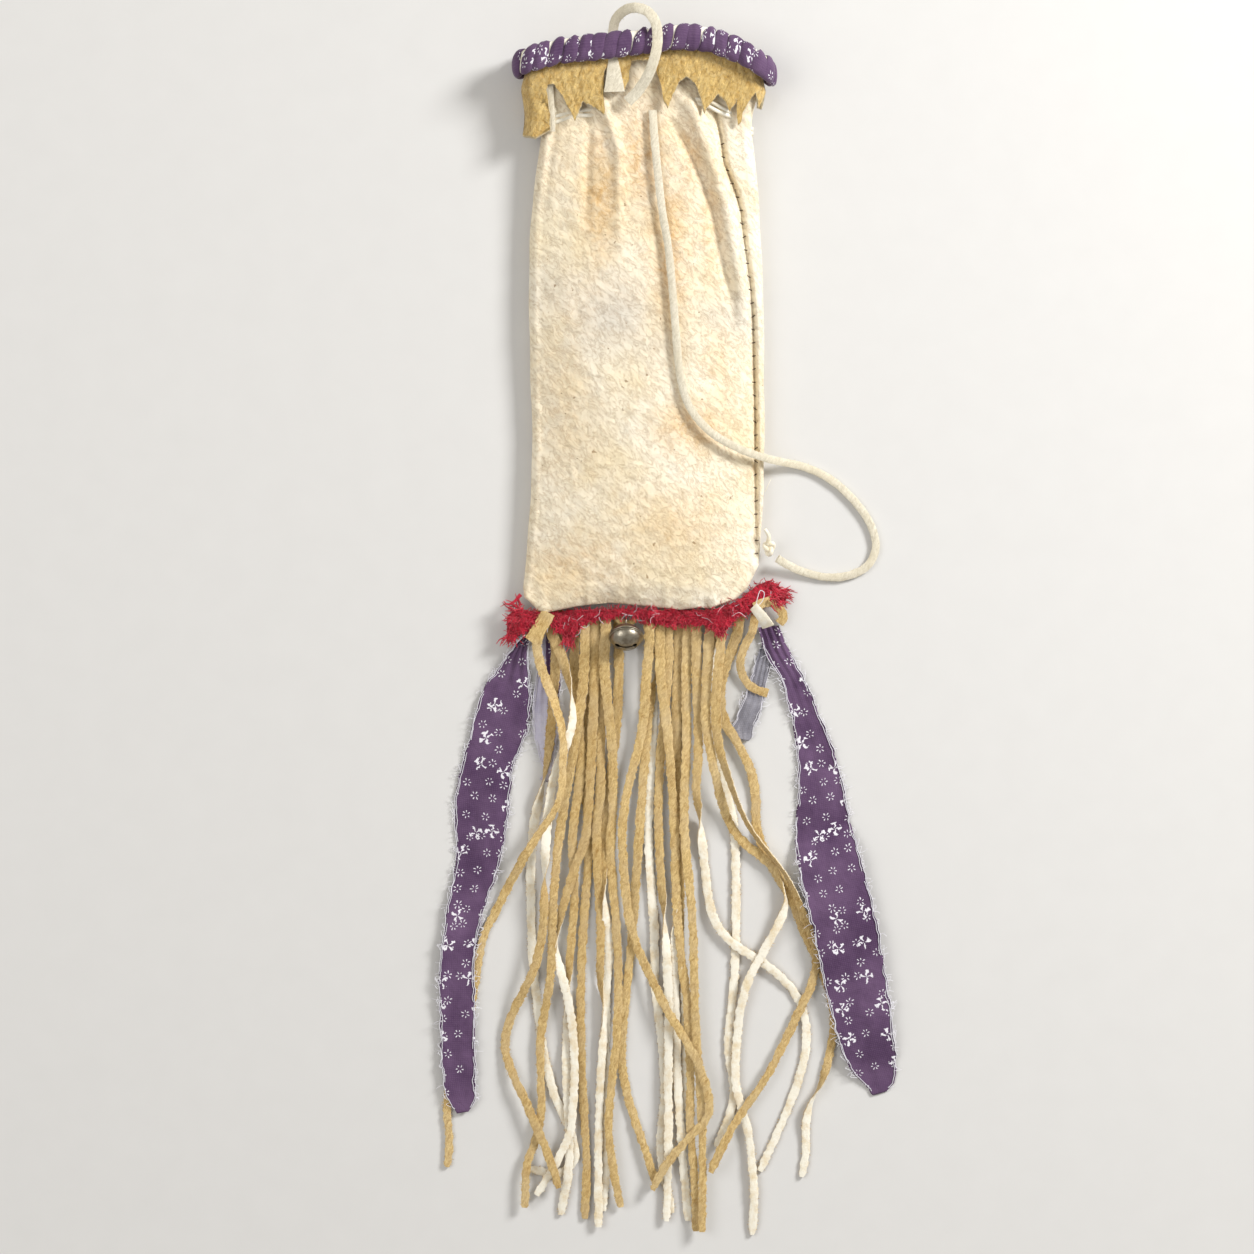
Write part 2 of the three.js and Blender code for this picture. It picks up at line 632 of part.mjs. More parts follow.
const SLOT_HALF = 4.2;
const slotCut = new THREE.BoxGeometry(2 * SLOT_HALF, 1.1, 6).translate(0, 0, -BELL_HALF_HEIGHT);
const holeCut = (x) => new THREE.CylinderGeometry(1.3, 1.3, 6, 10).rotateX(Math.PI / 2).translate(x, 0, -5);
let lower = solidOf(halfShell(-1)).subtract(solidOf(slotCut));
for (const x of [-SLOT_HALF, SLOT_HALF]) lower = lower.subtract(solidOf(holeCut(x)));
const inBell = (name, geometry) => {
  const mesh = new THREE.Mesh(geometry, nickel);
  mesh.name = name;
  bell.add(mesh);
};
inBell("bell_lower_shell", geometryOf(lower));
inBell("bell_upper_shell", halfShell(1));
const ring = new THREE.TorusGeometry(LOOP_RADIUS, LOOP_WIRE, 6, 14);
inBell("bell_wire_loop", ring.rotateY(Math.PI / 2).translate(0, 0, BELL_ARM));
const pellet = new THREE.SphereGeometry(2.1, 10, 7);
inBell("bell_pellet", pellet.translate(0, 3.6, -0.6));

// ---- hanging loop: one thong tucked under the rim, carried up and over it ----

// Eight-sided strip through [x, y, z] points, lying flat side up.
function freeStrip(route, width, thickness, steps) {
  const curve = new THREE.CatmullRomCurve3(
    route.map((p) => new THREE.Vector3(...p)),
    false,
    "centripetal",
  );
  curve.arcLengthDivisions = 600;
  return curve.getSpacedPoints(steps).map((p, k) => {
    const t = curve.getTangentAt(k / steps);
    const side = new THREE.Vector3(-t.y, t.x, 0).normalize();
    return Array.from({ length: 8 }, (_, j) => {
      const a = ((j + 0.5) / 8) * 2 * Math.PI;
      const out = p.clone().addScaledVector(side, (width / 2) * Math.cos(a));
      out.z += (thickness / 2) * Math.sin(a);
      return out;
    });
  });
}

add(
  "hanging_loop_thong",
  loft(
    freeStrip(
      [
        [-26, 265.5, 21.8], [-26.2, 272, 21.8], [-26.4, 277, 20.9], [-26.6, 281, 19.6],
        [-26.7, 284, 19.35], [-26.7, 296, 19.35], [-25.6, 301, 21.2], [-22, 305, 24.2],
        [-16.5, 306.6, 27.2], [-10, 304.8, 28.8], [-5.8, 299.5, 29], [-4.6, 293, 28.2],
        [-5, 286.5, 27.8], [-6.6, 280, 27], [-9.5, 273, 25], [-14, 266.2, 22.9], [-19.5, 260.5, 21.8],
      ],
      5,
      1.3,
      34,
    ),
  ),
  paleHide,
);

// ---- free end of the drawstring: over the front, off the right edge and back to the side knot ----

const laceRoute = [
  [-7, 256.8, 17.9], [-6, 242, 19.2], [-4.4, 225, 20.2], [-2, 205, 21], [0.8, 188, 21.8],
  [3.2, 163, 22.6], [4.8, 143, 23.2], [6.8, 124, 23.5], [11.2, 109, 23.4], [21.8, 96.2, 22.3],
  [36.8, 87.8, 18.6], [47, 84.4, 13.4], [53.5, 82.8, 8.6], [60, 81.6, 4.2], [68, 80, 1.7],
  [81.8, 73.8, 1.3], [94.2, 62.8, 1.3], [102.8, 50.2, 1.3], [105.2, 39.2, 1.3], [101.2, 30.2, 1.3],
  [91.8, 25.2, 1.3], [81.8, 24.2, 1.3], [69.2, 26.8, 1.9], [60.5, 30.6, 4.4], [55.6, 33.6, 6.6],
];
add("long_lace", loft(freeStrip(laceRoute, 3.6, 1.9, 50)), paleHide);

const knot = new THREE.SphereGeometry(1, 10, 7).rotateX(Math.PI / 2).scale(3.4, 4.4, 3.1);
add("side_seam_knot", knot.translate(51.6, 38.6, 7.4), paleHide);

export default bag;
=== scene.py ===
# Fringed hide medicine bag, lying on its back with its mouth towards +Y. Metres, +Z up.
import math
import random

import bmesh
import bpy
import numpy as np
from mathutils import Matrix, Vector, noise
from mathutils.bvhtree import BVHTree


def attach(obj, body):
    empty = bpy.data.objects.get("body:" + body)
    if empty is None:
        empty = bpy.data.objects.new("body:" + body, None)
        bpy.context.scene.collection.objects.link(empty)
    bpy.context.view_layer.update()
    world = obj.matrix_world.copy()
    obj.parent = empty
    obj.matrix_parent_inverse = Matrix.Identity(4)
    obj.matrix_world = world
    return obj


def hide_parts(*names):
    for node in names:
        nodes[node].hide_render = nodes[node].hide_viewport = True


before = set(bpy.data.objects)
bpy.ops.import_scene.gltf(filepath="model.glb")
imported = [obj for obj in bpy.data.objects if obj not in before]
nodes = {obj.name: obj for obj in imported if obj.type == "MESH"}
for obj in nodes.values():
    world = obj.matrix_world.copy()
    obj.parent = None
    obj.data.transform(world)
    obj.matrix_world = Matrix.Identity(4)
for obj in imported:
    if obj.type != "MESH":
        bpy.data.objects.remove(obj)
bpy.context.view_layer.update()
bpy.ops.object.select_all(action="DESELECT")
MM = 0.001

# ---- studio ----
# The bag lies on a plain pale floor and is seen from straight above.
# One large soft lamp stands beyond the mouth to the right, and a weaker one on the left.
VIEW_WIDTH = 0.627
CAMERA_HEIGHT = 2.2
AIM = (-0.01975, -0.00075)

lens = bpy.data.cameras.new("studio_camera")
lens.lens = lens.sensor_width * (CAMERA_HEIGHT - 11 * MM) / VIEW_WIDTH
camera = bpy.data.objects.new("studio_camera", lens)
camera.location = (*AIM, CAMERA_HEIGHT)
bpy.context.scene.collection.objects.link(camera)
bpy.context.scene.camera = camera
bpy.context.scene.view_settings.view_transform = "Standard"


def softbox(name, place, size, power):
    lamp = bpy.data.lights.new(name, "AREA")
    lamp.shape = "DISK"
    lamp.size = size
    lamp.energy = power
    holder = bpy.data.objects.new(name, lamp)
    holder.location = place
    holder.rotation_euler = (-Vector(place)).to_track_quat("-Z", "Y").to_euler()
    bpy.context.scene.collection.objects.link(holder)


softbox("key_softbox", (1.35, 0.95, 1.0), 0.6, 40)
softbox("fill_softbox", (-1.4, 0.3, 1.7), 1.6, 15)
world = bpy.data.worlds.new("studio_air")
world.use_nodes = True
world.node_tree.nodes["Background"].inputs["Color"].default_value = (1, 0.97, 0.93, 1)
world.node_tree.nodes["Background"].inputs["Strength"].default_value = 0.46
bpy.context.scene.world = world

bpy.ops.mesh.primitive_plane_add(size=8, location=(0, 0, -0.3 * MM))
studio_floor = bpy.context.object
studio_floor.name = "studio_floor"


def new_finish(name, roughness, sheen=0.0, metallic=0.0, specular=0.3):
    """A material with its node tree and its shader."""
    made = bpy.data.materials.new(name)
    made.use_nodes = True
    shader = made.node_tree.nodes["Principled BSDF"]
    shader.inputs["Roughness"].default_value = roughness
    shader.inputs["Sheen Weight"].default_value = sheen
    shader.inputs["Metallic"].default_value = metallic
    shader.inputs["Specular IOR Level"].default_value = specular
    return made, made.node_tree, shader


def node(tree, kind, settings=None, **inputs):
    """A shader node; an input is a number, a colour or another node's output. i3 is input 3."""
    made = tree.nodes.new("ShaderNode" + kind)
    for key, value in (settings or {}).items():
        setattr(made, key, value)
    for key, value in inputs.items():
        numbered = key[0] == "i" and key[1:].isdigit()
        socket = made.inputs[int(key[1:]) if numbered else key.replace("_", " ")]
        if isinstance(value, bpy.types.NodeSocket):
            tree.links.new(value, socket)
        else:
            socket.default_value = value
    return made


def mixed(tree, share, first, second):
    """Colour between two colours."""
    colours = [c if isinstance(c, bpy.types.NodeSocket) else (*c, 1) for c in (first, second)]
    mixer = node(tree, "Mix", {"data_type": "RGBA"}, i0=share, i6=colours[0], i7=colours[1])
    return mixer.outputs[2]


def spread(tree, value, low, high, to_low=0.0, to_high=1.0):
    """A value's range from low to high, carried to another range."""
    made = node(tree, "MapRange", None, Value=value, i1=low, i2=high, i3=to_low, i4=to_high)
    return made.outputs[0]


def sums(tree, operation, first, second=0.0):
    return node(tree, "Math", {"operation": operation}, i0=first, i1=second).outputs[0]


def cloudy(tree, vector, per_metre, detail=3.0, roughness=0.55, distortion=0.0):
    made = node(tree, "TexNoise", None, Vector=vector, Scale=per_metre, Detail=detail,
                Roughness=roughness, Distortion=distortion)
    return made.outputs[0]


def stretched(tree, vector, scale, turn=0.0):
    """The place turned and then stretched, so that a pattern runs along a slant."""
    turned = node(tree, "Mapping", None, Vector=vector, Rotation=(0, 0, turn))
    return node(tree, "Mapping", None, Vector=turned.outputs[0], Scale=scale).outputs[0]


def relief(tree, height, depth, below=None, strength=1.0):
    made = node(tree, "Bump", None, Height=height, Distance=depth, Strength=strength)
    if below is not None:
        tree.links.new(below, made.inputs["Normal"])
    return made.outputs[0]


def object_place(tree):
    return node(tree, "TexCoord").outputs["Object"]


def cloth_place(tree):
    return node(tree, "UVMap", {"uv_map": "cloth"}).outputs[0]


def painted(tree, name):
    return node(tree, "Attribute", {"attribute_name": name}).outputs["Fac"]


floor_finish, tree, shader = new_finish("pale_floor", 0.85)
speckle = cloudy(tree, object_place(tree), 60)
tint = mixed(tree, speckle, (0.66, 0.65, 0.63), (0.69, 0.68, 0.66))
tree.links.new(tint, shader.inputs["Base Color"])
studio_floor.data.materials.append(floor_finish)

# ---- long lace ----
# The free end of the drawstring: a rounded strip of white hide, rough on its upper side.
# It leaves the neck, crosses the front, runs off the right edge and back to the side knot.
LACE_WIDTH = 3.9 * MM
LACE_THICK = 1.9 * MM
lace_route = [
    (-0.007, 0.2568, 0.0179), (-0.006, 0.242, 0.0192), (-0.0044, 0.225, 0.0202),
    (-0.002, 0.205, 0.021), (0.0008, 0.188, 0.0218), (0.0032, 0.163, 0.0226), (0.0048, 0.143, 0.0232),
    (0.0068, 0.124, 0.0235), (0.0112, 0.109, 0.0234), (0.0218, 0.0962, 0.0223),
    (0.0368, 0.0878, 0.0186), (0.047, 0.0844, 0.0134), (0.0535, 0.0828, 0.0086),
    (0.06, 0.0816, 0.0042), (0.068, 0.08, 0.0017), (0.0818, 0.0738, 0.0013), (0.0942, 0.0628, 0.0013),
    (0.1028, 0.0502, 0.0013), (0.1052, 0.0392, 0.0013), (0.1012, 0.0302, 0.0013),
    (0.0918, 0.0252, 0.0013), (0.0818, 0.0242, 0.0013), (0.0692, 0.0268, 0.0019),
    (0.0605, 0.0306, 0.0044), (0.0556, 0.0336, 0.0066),
]


def smooth_line(points, step):
    """Points a step apart along a smooth curve through the given ones."""
    p = np.array(points, float)
    p = np.vstack([2 * p[0] - p[1], p, 2 * p[-1] - p[-2]])
    fine = []
    for a, b, c, d in zip(p, p[1:], p[2:], p[3:]):
        ab, bc, cd = (math.sqrt(np.linalg.norm(v)) for v in (b - a, c - b, d - c))
        leaving = ((b - a) / ab - (c - a) / (ab + bc) + (c - b) / bc) * bc
        arriving = ((c - b) / bc - (d - b) / (bc + cd) + (d - c) / cd) * bc
        for t in np.arange(0, 1, 1 / 24):
            bend = (2 * t**3 - 3 * t**2 + 1) * b + (t**3 - 2 * t**2 + t) * leaving
            fine.append(bend + (3 * t**2 - 2 * t**3) * c + (t**3 - t**2) * arriving)
    fine.append(p[-2])
    return even_steps(np.array(fine), step)


def even_steps(line, step):
    gone = np.concatenate([[0], np.cumsum(np.linalg.norm(np.diff(line, axis=0), axis=1))])
    count = max(2, round(gone[-1] / step) + 1)
    at = np.linspace(0, gone[-1], count)
    return np.column_stack([np.interp(at, gone, line[:, k]) for k in range(line.shape[1])])


def line_length(line):
    return float(np.linalg.norm(np.diff(line, axis=0), axis=1).sum())


def wander(count, per_step, seed):
    """A smooth wandering value from about -1 to 1."""
    return np.array([noise.noise(Vector((k * per_step, seed * 7.31, 0.5))) for k in range(count)])


def directions(line):
    """Unit tangent, level side direction and upward normal at each point of a line."""
    ahead = np.gradient(line, axis=0)
    ahead /= np.linalg.norm(ahead, axis=1)[:, None]
    side = np.column_stack([-ahead[:, 1], ahead[:, 0], np.zeros(len(line))])
    side /= np.linalg.norm(side, axis=1)[:, None]
    return ahead, side, np.cross(ahead, side)


def net_of(rows, per_row, closed=True, ends_meet=False):
    """Four-sided faces between rows of points; a closed row ends where it starts."""
    last = rows if ends_meet else rows - 1
    steps = per_row if closed else per_row - 1
    return [(k * per_row + j, k * per_row + (j + 1) % per_row,
             (k + 1) % rows * per_row + (j + 1) % per_row, (k + 1) % rows * per_row + j)
            for k in range(last) for j in range(steps)]


def new_piece(name, verts, faces, finish, across=None, painting=None, body="bag", sharp=50):
    """An object in place, with its cloth map, its painted values, its finish and its body."""
    mesh = bpy.data.meshes.new(name)
    mesh.from_pydata([tuple(v) for v in verts], [], faces)
    if across is not None:
        corners = np.zeros(len(mesh.loops), int)
        mesh.loops.foreach_get("vertex_index", corners)
        mesh.uv_layers.new(name="cloth").data.foreach_set("uv", np.array(across)[corners].ravel())
    for key, values in (painting or {}).items():
        mesh.attributes.new(key, "FLOAT", "POINT").data.foreach_set("value", np.array(values, float))
    made = bpy.data.objects.new(name, mesh)
    bpy.context.scene.collection.objects.link(made)
    shape = bmesh.new()
    shape.from_mesh(mesh)
    bmesh.ops.recalc_face_normals(shape, faces=shape.faces)
    shape.to_mesh(mesh)
    shape.free()
    mesh.materials.append(finish)
    mesh.shade_smooth()
    smooth_under(made, sharp)
    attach(made, body)
    return made


def smooth_under(piece, degrees):
    bpy.ops.object.select_all(action="DESELECT")
    piece.select_set(True)
    bpy.context.view_layer.objects.active = piece
    bpy.ops.object.shade_smooth_by_angle(angle=math.radians(degrees))
    piece.select_set(False)


def whisker(verts, faces, root, way, length, thick, rng):
    """A short tapered fibre: four faces."""
    tip = root + way * length
    first = len(verts)
    side = np.cross(way, [rng.uniform(-1, 1), rng.uniform(-1, 1), 1.3])
    side /= np.linalg.norm(side)
    other = np.cross(way, side)
    for a in (0, 2.1, 4.2):
        verts.append(root + thick * (math.cos(a) * side + math.sin(a) * other))
    verts.append(tip)
    faces.extend([(first, first + 1, first + 3), (first + 1, first + 2, first + 3),
                  (first + 2, first, first + 3), (first + 2, first + 1, first)])


def cut_strip(name, line, width, thick, finish, turn=0.0, ragged=0.15 * MM, columns=6,
              fibres=0, seed=1, rounding=5, cup=0.0):
    """A strip of hide along a line: rough face up, smooth face under, rough cut edges.
    turn is how far it is rolled over at each point, in radians."""
    rng = random.Random(seed)
    count = len(line)
    step = line_length(line) / (count - 1)
    ahead, side, up = directions(line)
    roll = np.broadcast_to(turn, count)[:, None]
    flat = side * np.cos(roll) + up * np.sin(roll)
    proud = up * np.cos(roll) - side * np.sin(roll)
    widths = np.broadcast_to(width, count)
    columns_at = np.linspace(-1, 1, columns + 1)
    verts, cloth, smooth_side = [], [], []
    for k in range(count):
        jitter = [rng.uniform(-1, 1) * ragged for _ in range(2)]
        for face_up in (1, -1):
            for c in columns_at[::face_up]:
                edge = jitter[0] if c < 0 else jitter[1]
                reach = c * (widths[k] / 2 + edge * abs(c) ** 3)
                high = face_up * thick / 2 * (1 - 0.45 * abs(c) ** rounding) + cup * (c * c - 0.4)
                high += rng.uniform(-0.04, 0.04) * MM if face_up > 0 else 0
                verts.append(line[k] + flat[k] * reach + proud[k] * high)
                cloth.append((reach + (0 if face_up > 0 else 0.03), k * step))
                smooth_side.append(0.0 if face_up > 0 else 1.0)
    ring = 2 * (columns + 1)
    faces = net_of(count, ring)
    faces += [tuple(range(ring)), tuple(range((count - 1) * ring, count * ring))]
    for _ in range(fibres):
        k = rng.randrange(1, count - 1)
        edge = rng.choice((-1, 1))
        root = line[k] + flat[k] * edge * widths[k] * 0.47
        way = flat[k] * edge + proud[k] * rng.uniform(-0.3, 0.8) + ahead[k] * rng.uniform(-0.9, 0.9)
        way = way / np.linalg.norm(way)
        if root[2] + 1.6 * MM * way[2] < 0:
            way[2] = abs(way[2])
        whisker(verts, faces, root, way, rng.uniform(0.5, 1.6) * MM, 0.17 * MM, rng)
        cloth.extend([(edge * widths[k] / 2, k * step)] * 4)
        smooth_side.extend([0.0] * 4)
    painting = {"smooth_side": smooth_side, "browned": [rng.uniform(0, 0.28)] * len(verts)}
    return new_piece(name, verts, faces, finish, cloth, painting)


def thong_finish(name, rough_dark, rough_light, smooth_dark, smooth_light, nap):
    """Cut hide: a napped rough face and a paler smooth face with fine grain."""
    made, tree, shader = new_finish(name, 0.88, sheen=0.15, specular=0.2)
    cloth = cloth_place(tree)
    place = object_place(tree)
    patches = cloudy(tree, place, 70, 3)
    fibres = cloudy(tree, stretched(tree, place, (1, 0.45, 1), 0.4), 780, 6, 0.8, 0.7)
    rough_tint = mixed(tree, spread(tree, fibres, 0.36, 0.62), rough_dark, rough_light)
    rough_tint = mixed(tree, spread(tree, patches, 0.4, 0.75, 0, 0.45), rough_tint, smooth_dark)
    rough_tint = mixed(tree, painted(tree, "browned"), rough_tint, [c * 0.8 for c in rough_dark])
    stain = spread(tree, cloudy(tree, place, 160, 4, 0.65), 0.45, 0.72)
    smooth_tint = mixed(tree, stain, smooth_light, smooth_dark)
    tint = mixed(tree, painted(tree, "smooth_side"), rough_tint, smooth_tint)
    tree.links.new(tint, shader.inputs["Base Color"])
    grain = cloudy(tree, place, 900, 5, 0.7)
    nap_depth = sums(tree, "MULTIPLY", fibres, spread(tree, painted(tree, "smooth_side"), 0, 1, 1, 0.15))
    bumpy = relief(tree, sums(tree, "ADD", nap_depth, sums(tree, "MULTIPLY", grain, 0.4)), nap)
    tree.links.new(bumpy, shader.inputs["Normal"])
    return made


lace_hide = thong_finish("lace_hide", (0.58, 0.52, 0.39), (0.9, 0.84, 0.69), (0.76, 0.66, 0.46),
                         (0.9, 0.86, 0.74), 0.3 * MM)
lace_line = smooth_line(lace_route, 1.2 * MM)
lace_roll = 0.25 * wander(len(lace_line), 0.03, 3)
long_lace = cut_strip("lace_end", lace_line, LACE_WIDTH * (1 + 0.06 * wander(len(lace_line), 0.08, 5)),
                      LACE_THICK, lace_hide, lace_roll, 0.12 * MM, 6, 90, 5, 3)
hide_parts("long_lace")

# ---- fringe ----
# Twenty-three thongs cut from rough yellow hide, sewn into the bottom seam and lying loose.
# Each lies over the ones before it; where one is rolled over its smooth white side shows.
THONG = 1.15 * MM
fringe_routes = [
    [(0.009, 0.008), (0.007, -0.037), (0.006, -0.067), (0.008, -0.097), (0.007, -0.127),
     (0.007, -0.155), (0.009, -0.182), (0.01, -0.207), (0.009, -0.232), (0.008, -0.243)],
    [(-0.038, 0.008), (-0.039, -0.027), (-0.04, -0.057), (-0.04, -0.087), (-0.039, -0.112),
     (-0.042, -0.157), (-0.043, -0.202), (-0.041, -0.251), (-0.04, -0.272), (-0.041, -0.298)],
    [(0.025, 0.008), (0.023, -0.037), (0.025, -0.057), (0.031, -0.087), (0.034, -0.102),
     (0.035, -0.145), (0.034, -0.18), (0.031, -0.211), (0.034, -0.236), (0.031, -0.248),
     (0.025, -0.262)],
    [(-0.024, 0.008), (-0.024, -0.032), (-0.025, -0.05), (-0.03, -0.09), (-0.032, -0.108),
     (-0.031, -0.137), (-0.029, -0.162), (-0.03, -0.187), (-0.031, -0.237), (-0.03, -0.267),
     (-0.032, -0.294)],
    [(-0.055, 0.008), (-0.055, -0.007), (-0.057, -0.037), (-0.059, -0.062), (-0.062, -0.08),
     (-0.066, -0.097), (-0.068, -0.117), (-0.068, -0.145), (-0.067, -0.167), (-0.062, -0.212),
     (-0.057, -0.233), (-0.047, -0.258), (-0.046, -0.268), (-0.054, -0.275), (-0.068, -0.273)],
    [(-0.046, 0.008), (-0.046, -0.019), (-0.044, -0.047), (-0.043, -0.067), (-0.044, -0.082),
     (-0.047, -0.103), (-0.046, -0.137), (-0.048, -0.16), (-0.05, -0.207), (-0.05, -0.227),
     (-0.049, -0.252), (-0.049, -0.272), (-0.053, -0.296)],
    [(0.006, 0.008), (0.006, -0.017), (0.005, -0.047), (0.005, -0.082), (0.006, -0.107),
     (0.005, -0.132), (0.004, -0.162), (0.005, -0.205), (0.007, -0.252), (0.011, -0.299)],
    [(-0.006, 0.008), (-0.006, -0.017), (-0.007, -0.05), (-0.009, -0.103), (-0.008, -0.127),
     (-0.006, -0.153), (-0.006, -0.175), (-0.004, -0.195), (-0.002, -0.212), (-0.001, -0.237),
     (-0.003, -0.262), (0.003, -0.295)],
    [(0.001, 0.008), (0.001, -0.017), (-0.001, -0.045), (-0.003, -0.067), (-0.004, -0.097),
     (-0.003, -0.121), (0, -0.162), (0.001, -0.187), (0.001, -0.237), (0.001, -0.266), (0, -0.299)],
    [(-0.033, 0.008), (-0.033, -0.017), (-0.033, -0.059), (-0.033, -0.082), (-0.035, -0.103),
     (-0.033, -0.152), (-0.033, -0.18), (-0.031, -0.195), (-0.033, -0.227), (-0.034, -0.256),
     (-0.034, -0.302)],
    [(-0.008, 0.008), (-0.008, -0.032), (-0.01, -0.057), (-0.012, -0.082), (-0.015, -0.125),
     (-0.018, -0.165), (-0.022, -0.205), (-0.022, -0.222), (-0.019, -0.238), (-0.01, -0.265),
     (-0.005, -0.281)],
    [(-0.036, 0.008), (-0.036, -0.023), (-0.037, -0.05), (-0.039, -0.09), (-0.041, -0.108),
     (-0.046, -0.122), (-0.054, -0.15), (-0.055, -0.164), (-0.05, -0.185), (-0.047, -0.202),
     (-0.046, -0.224), (-0.047, -0.242), (-0.048, -0.253), (-0.053, -0.265), (-0.065, -0.286)],
    [(-0.003, 0.008), (-0.003, -0.023), (0.001, -0.057), (0.004, -0.103), (0.005, -0.137),
     (0.008, -0.171), (0.01, -0.185), (0.012, -0.225), (0.012, -0.25), (0.014, -0.277),
     (0.015, -0.304)],
    [(0.011, 0.008), (0.01, -0.023), (0.01, -0.063), (0.009, -0.085), (0.009, -0.103), (0.013, -0.147),
     (0.014, -0.177), (0.015, -0.207), (0.017, -0.232), (0.018, -0.256), (0.018, -0.304)],
    [(-0.03, 0.008), (-0.031, -0.019), (-0.03, -0.034), (-0.027, -0.065), (-0.027, -0.094),
     (-0.028, -0.112), (-0.025, -0.153), (-0.024, -0.18), (-0.025, -0.207), (-0.029, -0.251),
     (-0.027, -0.27), (-0.023, -0.292)],
    [(-0.041, 0.008), (-0.041, -0.014), (-0.042, -0.032), (-0.048, -0.072), (-0.054, -0.108),
     (-0.057, -0.144), (-0.058, -0.175), (-0.063, -0.207), (-0.063, -0.245), (-0.066, -0.259),
     (-0.07, -0.271), (-0.071, -0.292)],
    [(-0.059, 0.008), (-0.058, -0.002), (-0.053, -0.014), (-0.049, -0.028), (-0.047, -0.041),
     (-0.048, -0.053), (-0.057, -0.078), (-0.061, -0.121), (-0.062, -0.153), (-0.066, -0.171),
     (-0.078, -0.197), (-0.081, -0.21), (-0.079, -0.22), (-0.071, -0.238), (-0.059, -0.266),
     (-0.054, -0.282)],
    [(0.015, 0.008), (0.015, -0.019), (0.016, -0.063), (0.015, -0.081), (0.017, -0.099),
     (0.02, -0.127), (0.022, -0.141), (0.026, -0.151), (0.033, -0.159), (0.051, -0.171),
     (0.059, -0.178), (0.066, -0.187), (0.07, -0.2), (0.07, -0.213), (0.067, -0.226), (0.063, -0.238),
     (0.053, -0.261), (0.047, -0.274)],
    [(0.037, 0.008), (0.036, -0.002), (0.028, -0.027), (0.027, -0.037), (0.029, -0.047),
     (0.039, -0.065), (0.043, -0.075), (0.045, -0.087), (0.045, -0.099), (0.048, -0.11),
     (0.06, -0.132), (0.071, -0.158), (0.077, -0.171), (0.082, -0.185), (0.084, -0.2), (0.082, -0.215),
     (0.078, -0.229), (0.072, -0.241), (0.07, -0.252), (0.07, -0.265), (0.068, -0.277)],
    [(0.022, 0.008), (0.021, -0.015), (0.02, -0.032), (0.02, -0.05), (0.025, -0.077), (0.028, -0.089),
     (0.032, -0.1), (0.038, -0.108), (0.052, -0.12), (0.057, -0.129), (0.06, -0.138), (0.058, -0.146),
     (0.048, -0.165), (0.042, -0.176), (0.038, -0.189), (0.036, -0.202), (0.035, -0.23),
     (0.041, -0.254), (0.043, -0.269), (0.044, -0.287), (0.043, -0.306)],
    [(0.028, 0.008), (0.027, -0.012), (0.025, -0.032), (0.025, -0.05), (0.027, -0.063),
     (0.031, -0.076), (0.041, -0.1), (0.061, -0.127), (0.069, -0.146), (0.074, -0.158),
     (0.075, -0.168), (0.073, -0.18), (0.066, -0.195), (0.051, -0.225), (0.036, -0.247),
     (0.029, -0.259), (0.022, -0.274)],
    [(-0.009, 0.008), (-0.0086, -0.008), (-0.01, -0.025), (-0.011, -0.042), (-0.013, -0.056),
     (-0.02, -0.085), (-0.022, -0.1), (-0.022, -0.112), (-0.019, -0.145), (-0.015, -0.16),
     (-0.001, -0.19), (0.012, -0.212), (0.018, -0.225), (0.021, -0.236), (0.021, -0.245),
     (0.016, -0.252), (0.009, -0.259), (0, -0.27), (-0.007, -0.283)],
    [(-0.063, 0.008), (-0.063, -0.001), (-0.065, -0.01), (-0.062, -0.023), (-0.056, -0.039),
     (-0.052, -0.055), (-0.052, -0.072), (-0.054, -0.088), (-0.069, -0.112), (-0.086, -0.144),
     (-0.092, -0.157), (-0.098, -0.19), (-0.105, -0.217), (-0.11, -0.24), (-0.109, -0.259),
     (-0.11, -0.272)],
]
# Thong number: (y, degrees) pairs, how far it is rolled over as it runs down.
rolled_over = {
    1: [(-0.15, 0), (-0.185, 180)],
    3: [(0.0, 0), (-0.025, 180)],
    4: [(-0.12, 0), (-0.15, 180)],
    5: [(-0.06, 0), (-0.095, 180)],
    6: [(-0.165, 0), (-0.2, 180)],
    7: [(-0.13, 0), (-0.16, 180)],
    8: [(0.0, 0), (-0.03, 180)],
    9: [(-0.13, 0), (-0.165, 180)],
    10: [(-0.17, 0), (-0.21, 180)],
    12: [(-0.14, 0), (-0.175, 180)],
    17: [(-0.02, 0), (-0.045, 150), (-0.11, 165), (-0.14, 360)],
    18: [(-0.085, 0), (-0.11, 180)],
    19: [(-0.22, 0), (-0.25, 180)],
    20: [(-0.12, 0), (-0.15, 180)],
    21: [(-0.06, 0), (-0.085, 68), (-0.125, 72), (-0.15, 0)],
    23: [(-0.02, 0), (-0.04, -38), (-0.1, -30), (-0.13, 0)],
}


def surface_of(piece):
    """The surface of an object, or of the CAD solid with that name."""
    mesh = nodes[piece].data if isinstance(piece, str) else piece.data
    corners = [v.co.copy() for v in mesh.vertices]
    return BVHTree.FromPolygons(corners, [tuple(p.vertices) for p in mesh.polygons])


def height_over(surface, xy, above=0.2):
    """Height of a surface straight under or over each point; gaps take their neighbours'."""
    found = []
    for x, y in xy:
        hit = surface.ray_cast(Vector((x, y, above)), Vector((0, 0, -1)))[0]
        found.append(hit.z if hit else np.nan)
    found = np.array(found)
    known = np.flatnonzero(~np.isnan(found))
    return np.interp(np.arange(len(found)), known, found[known])


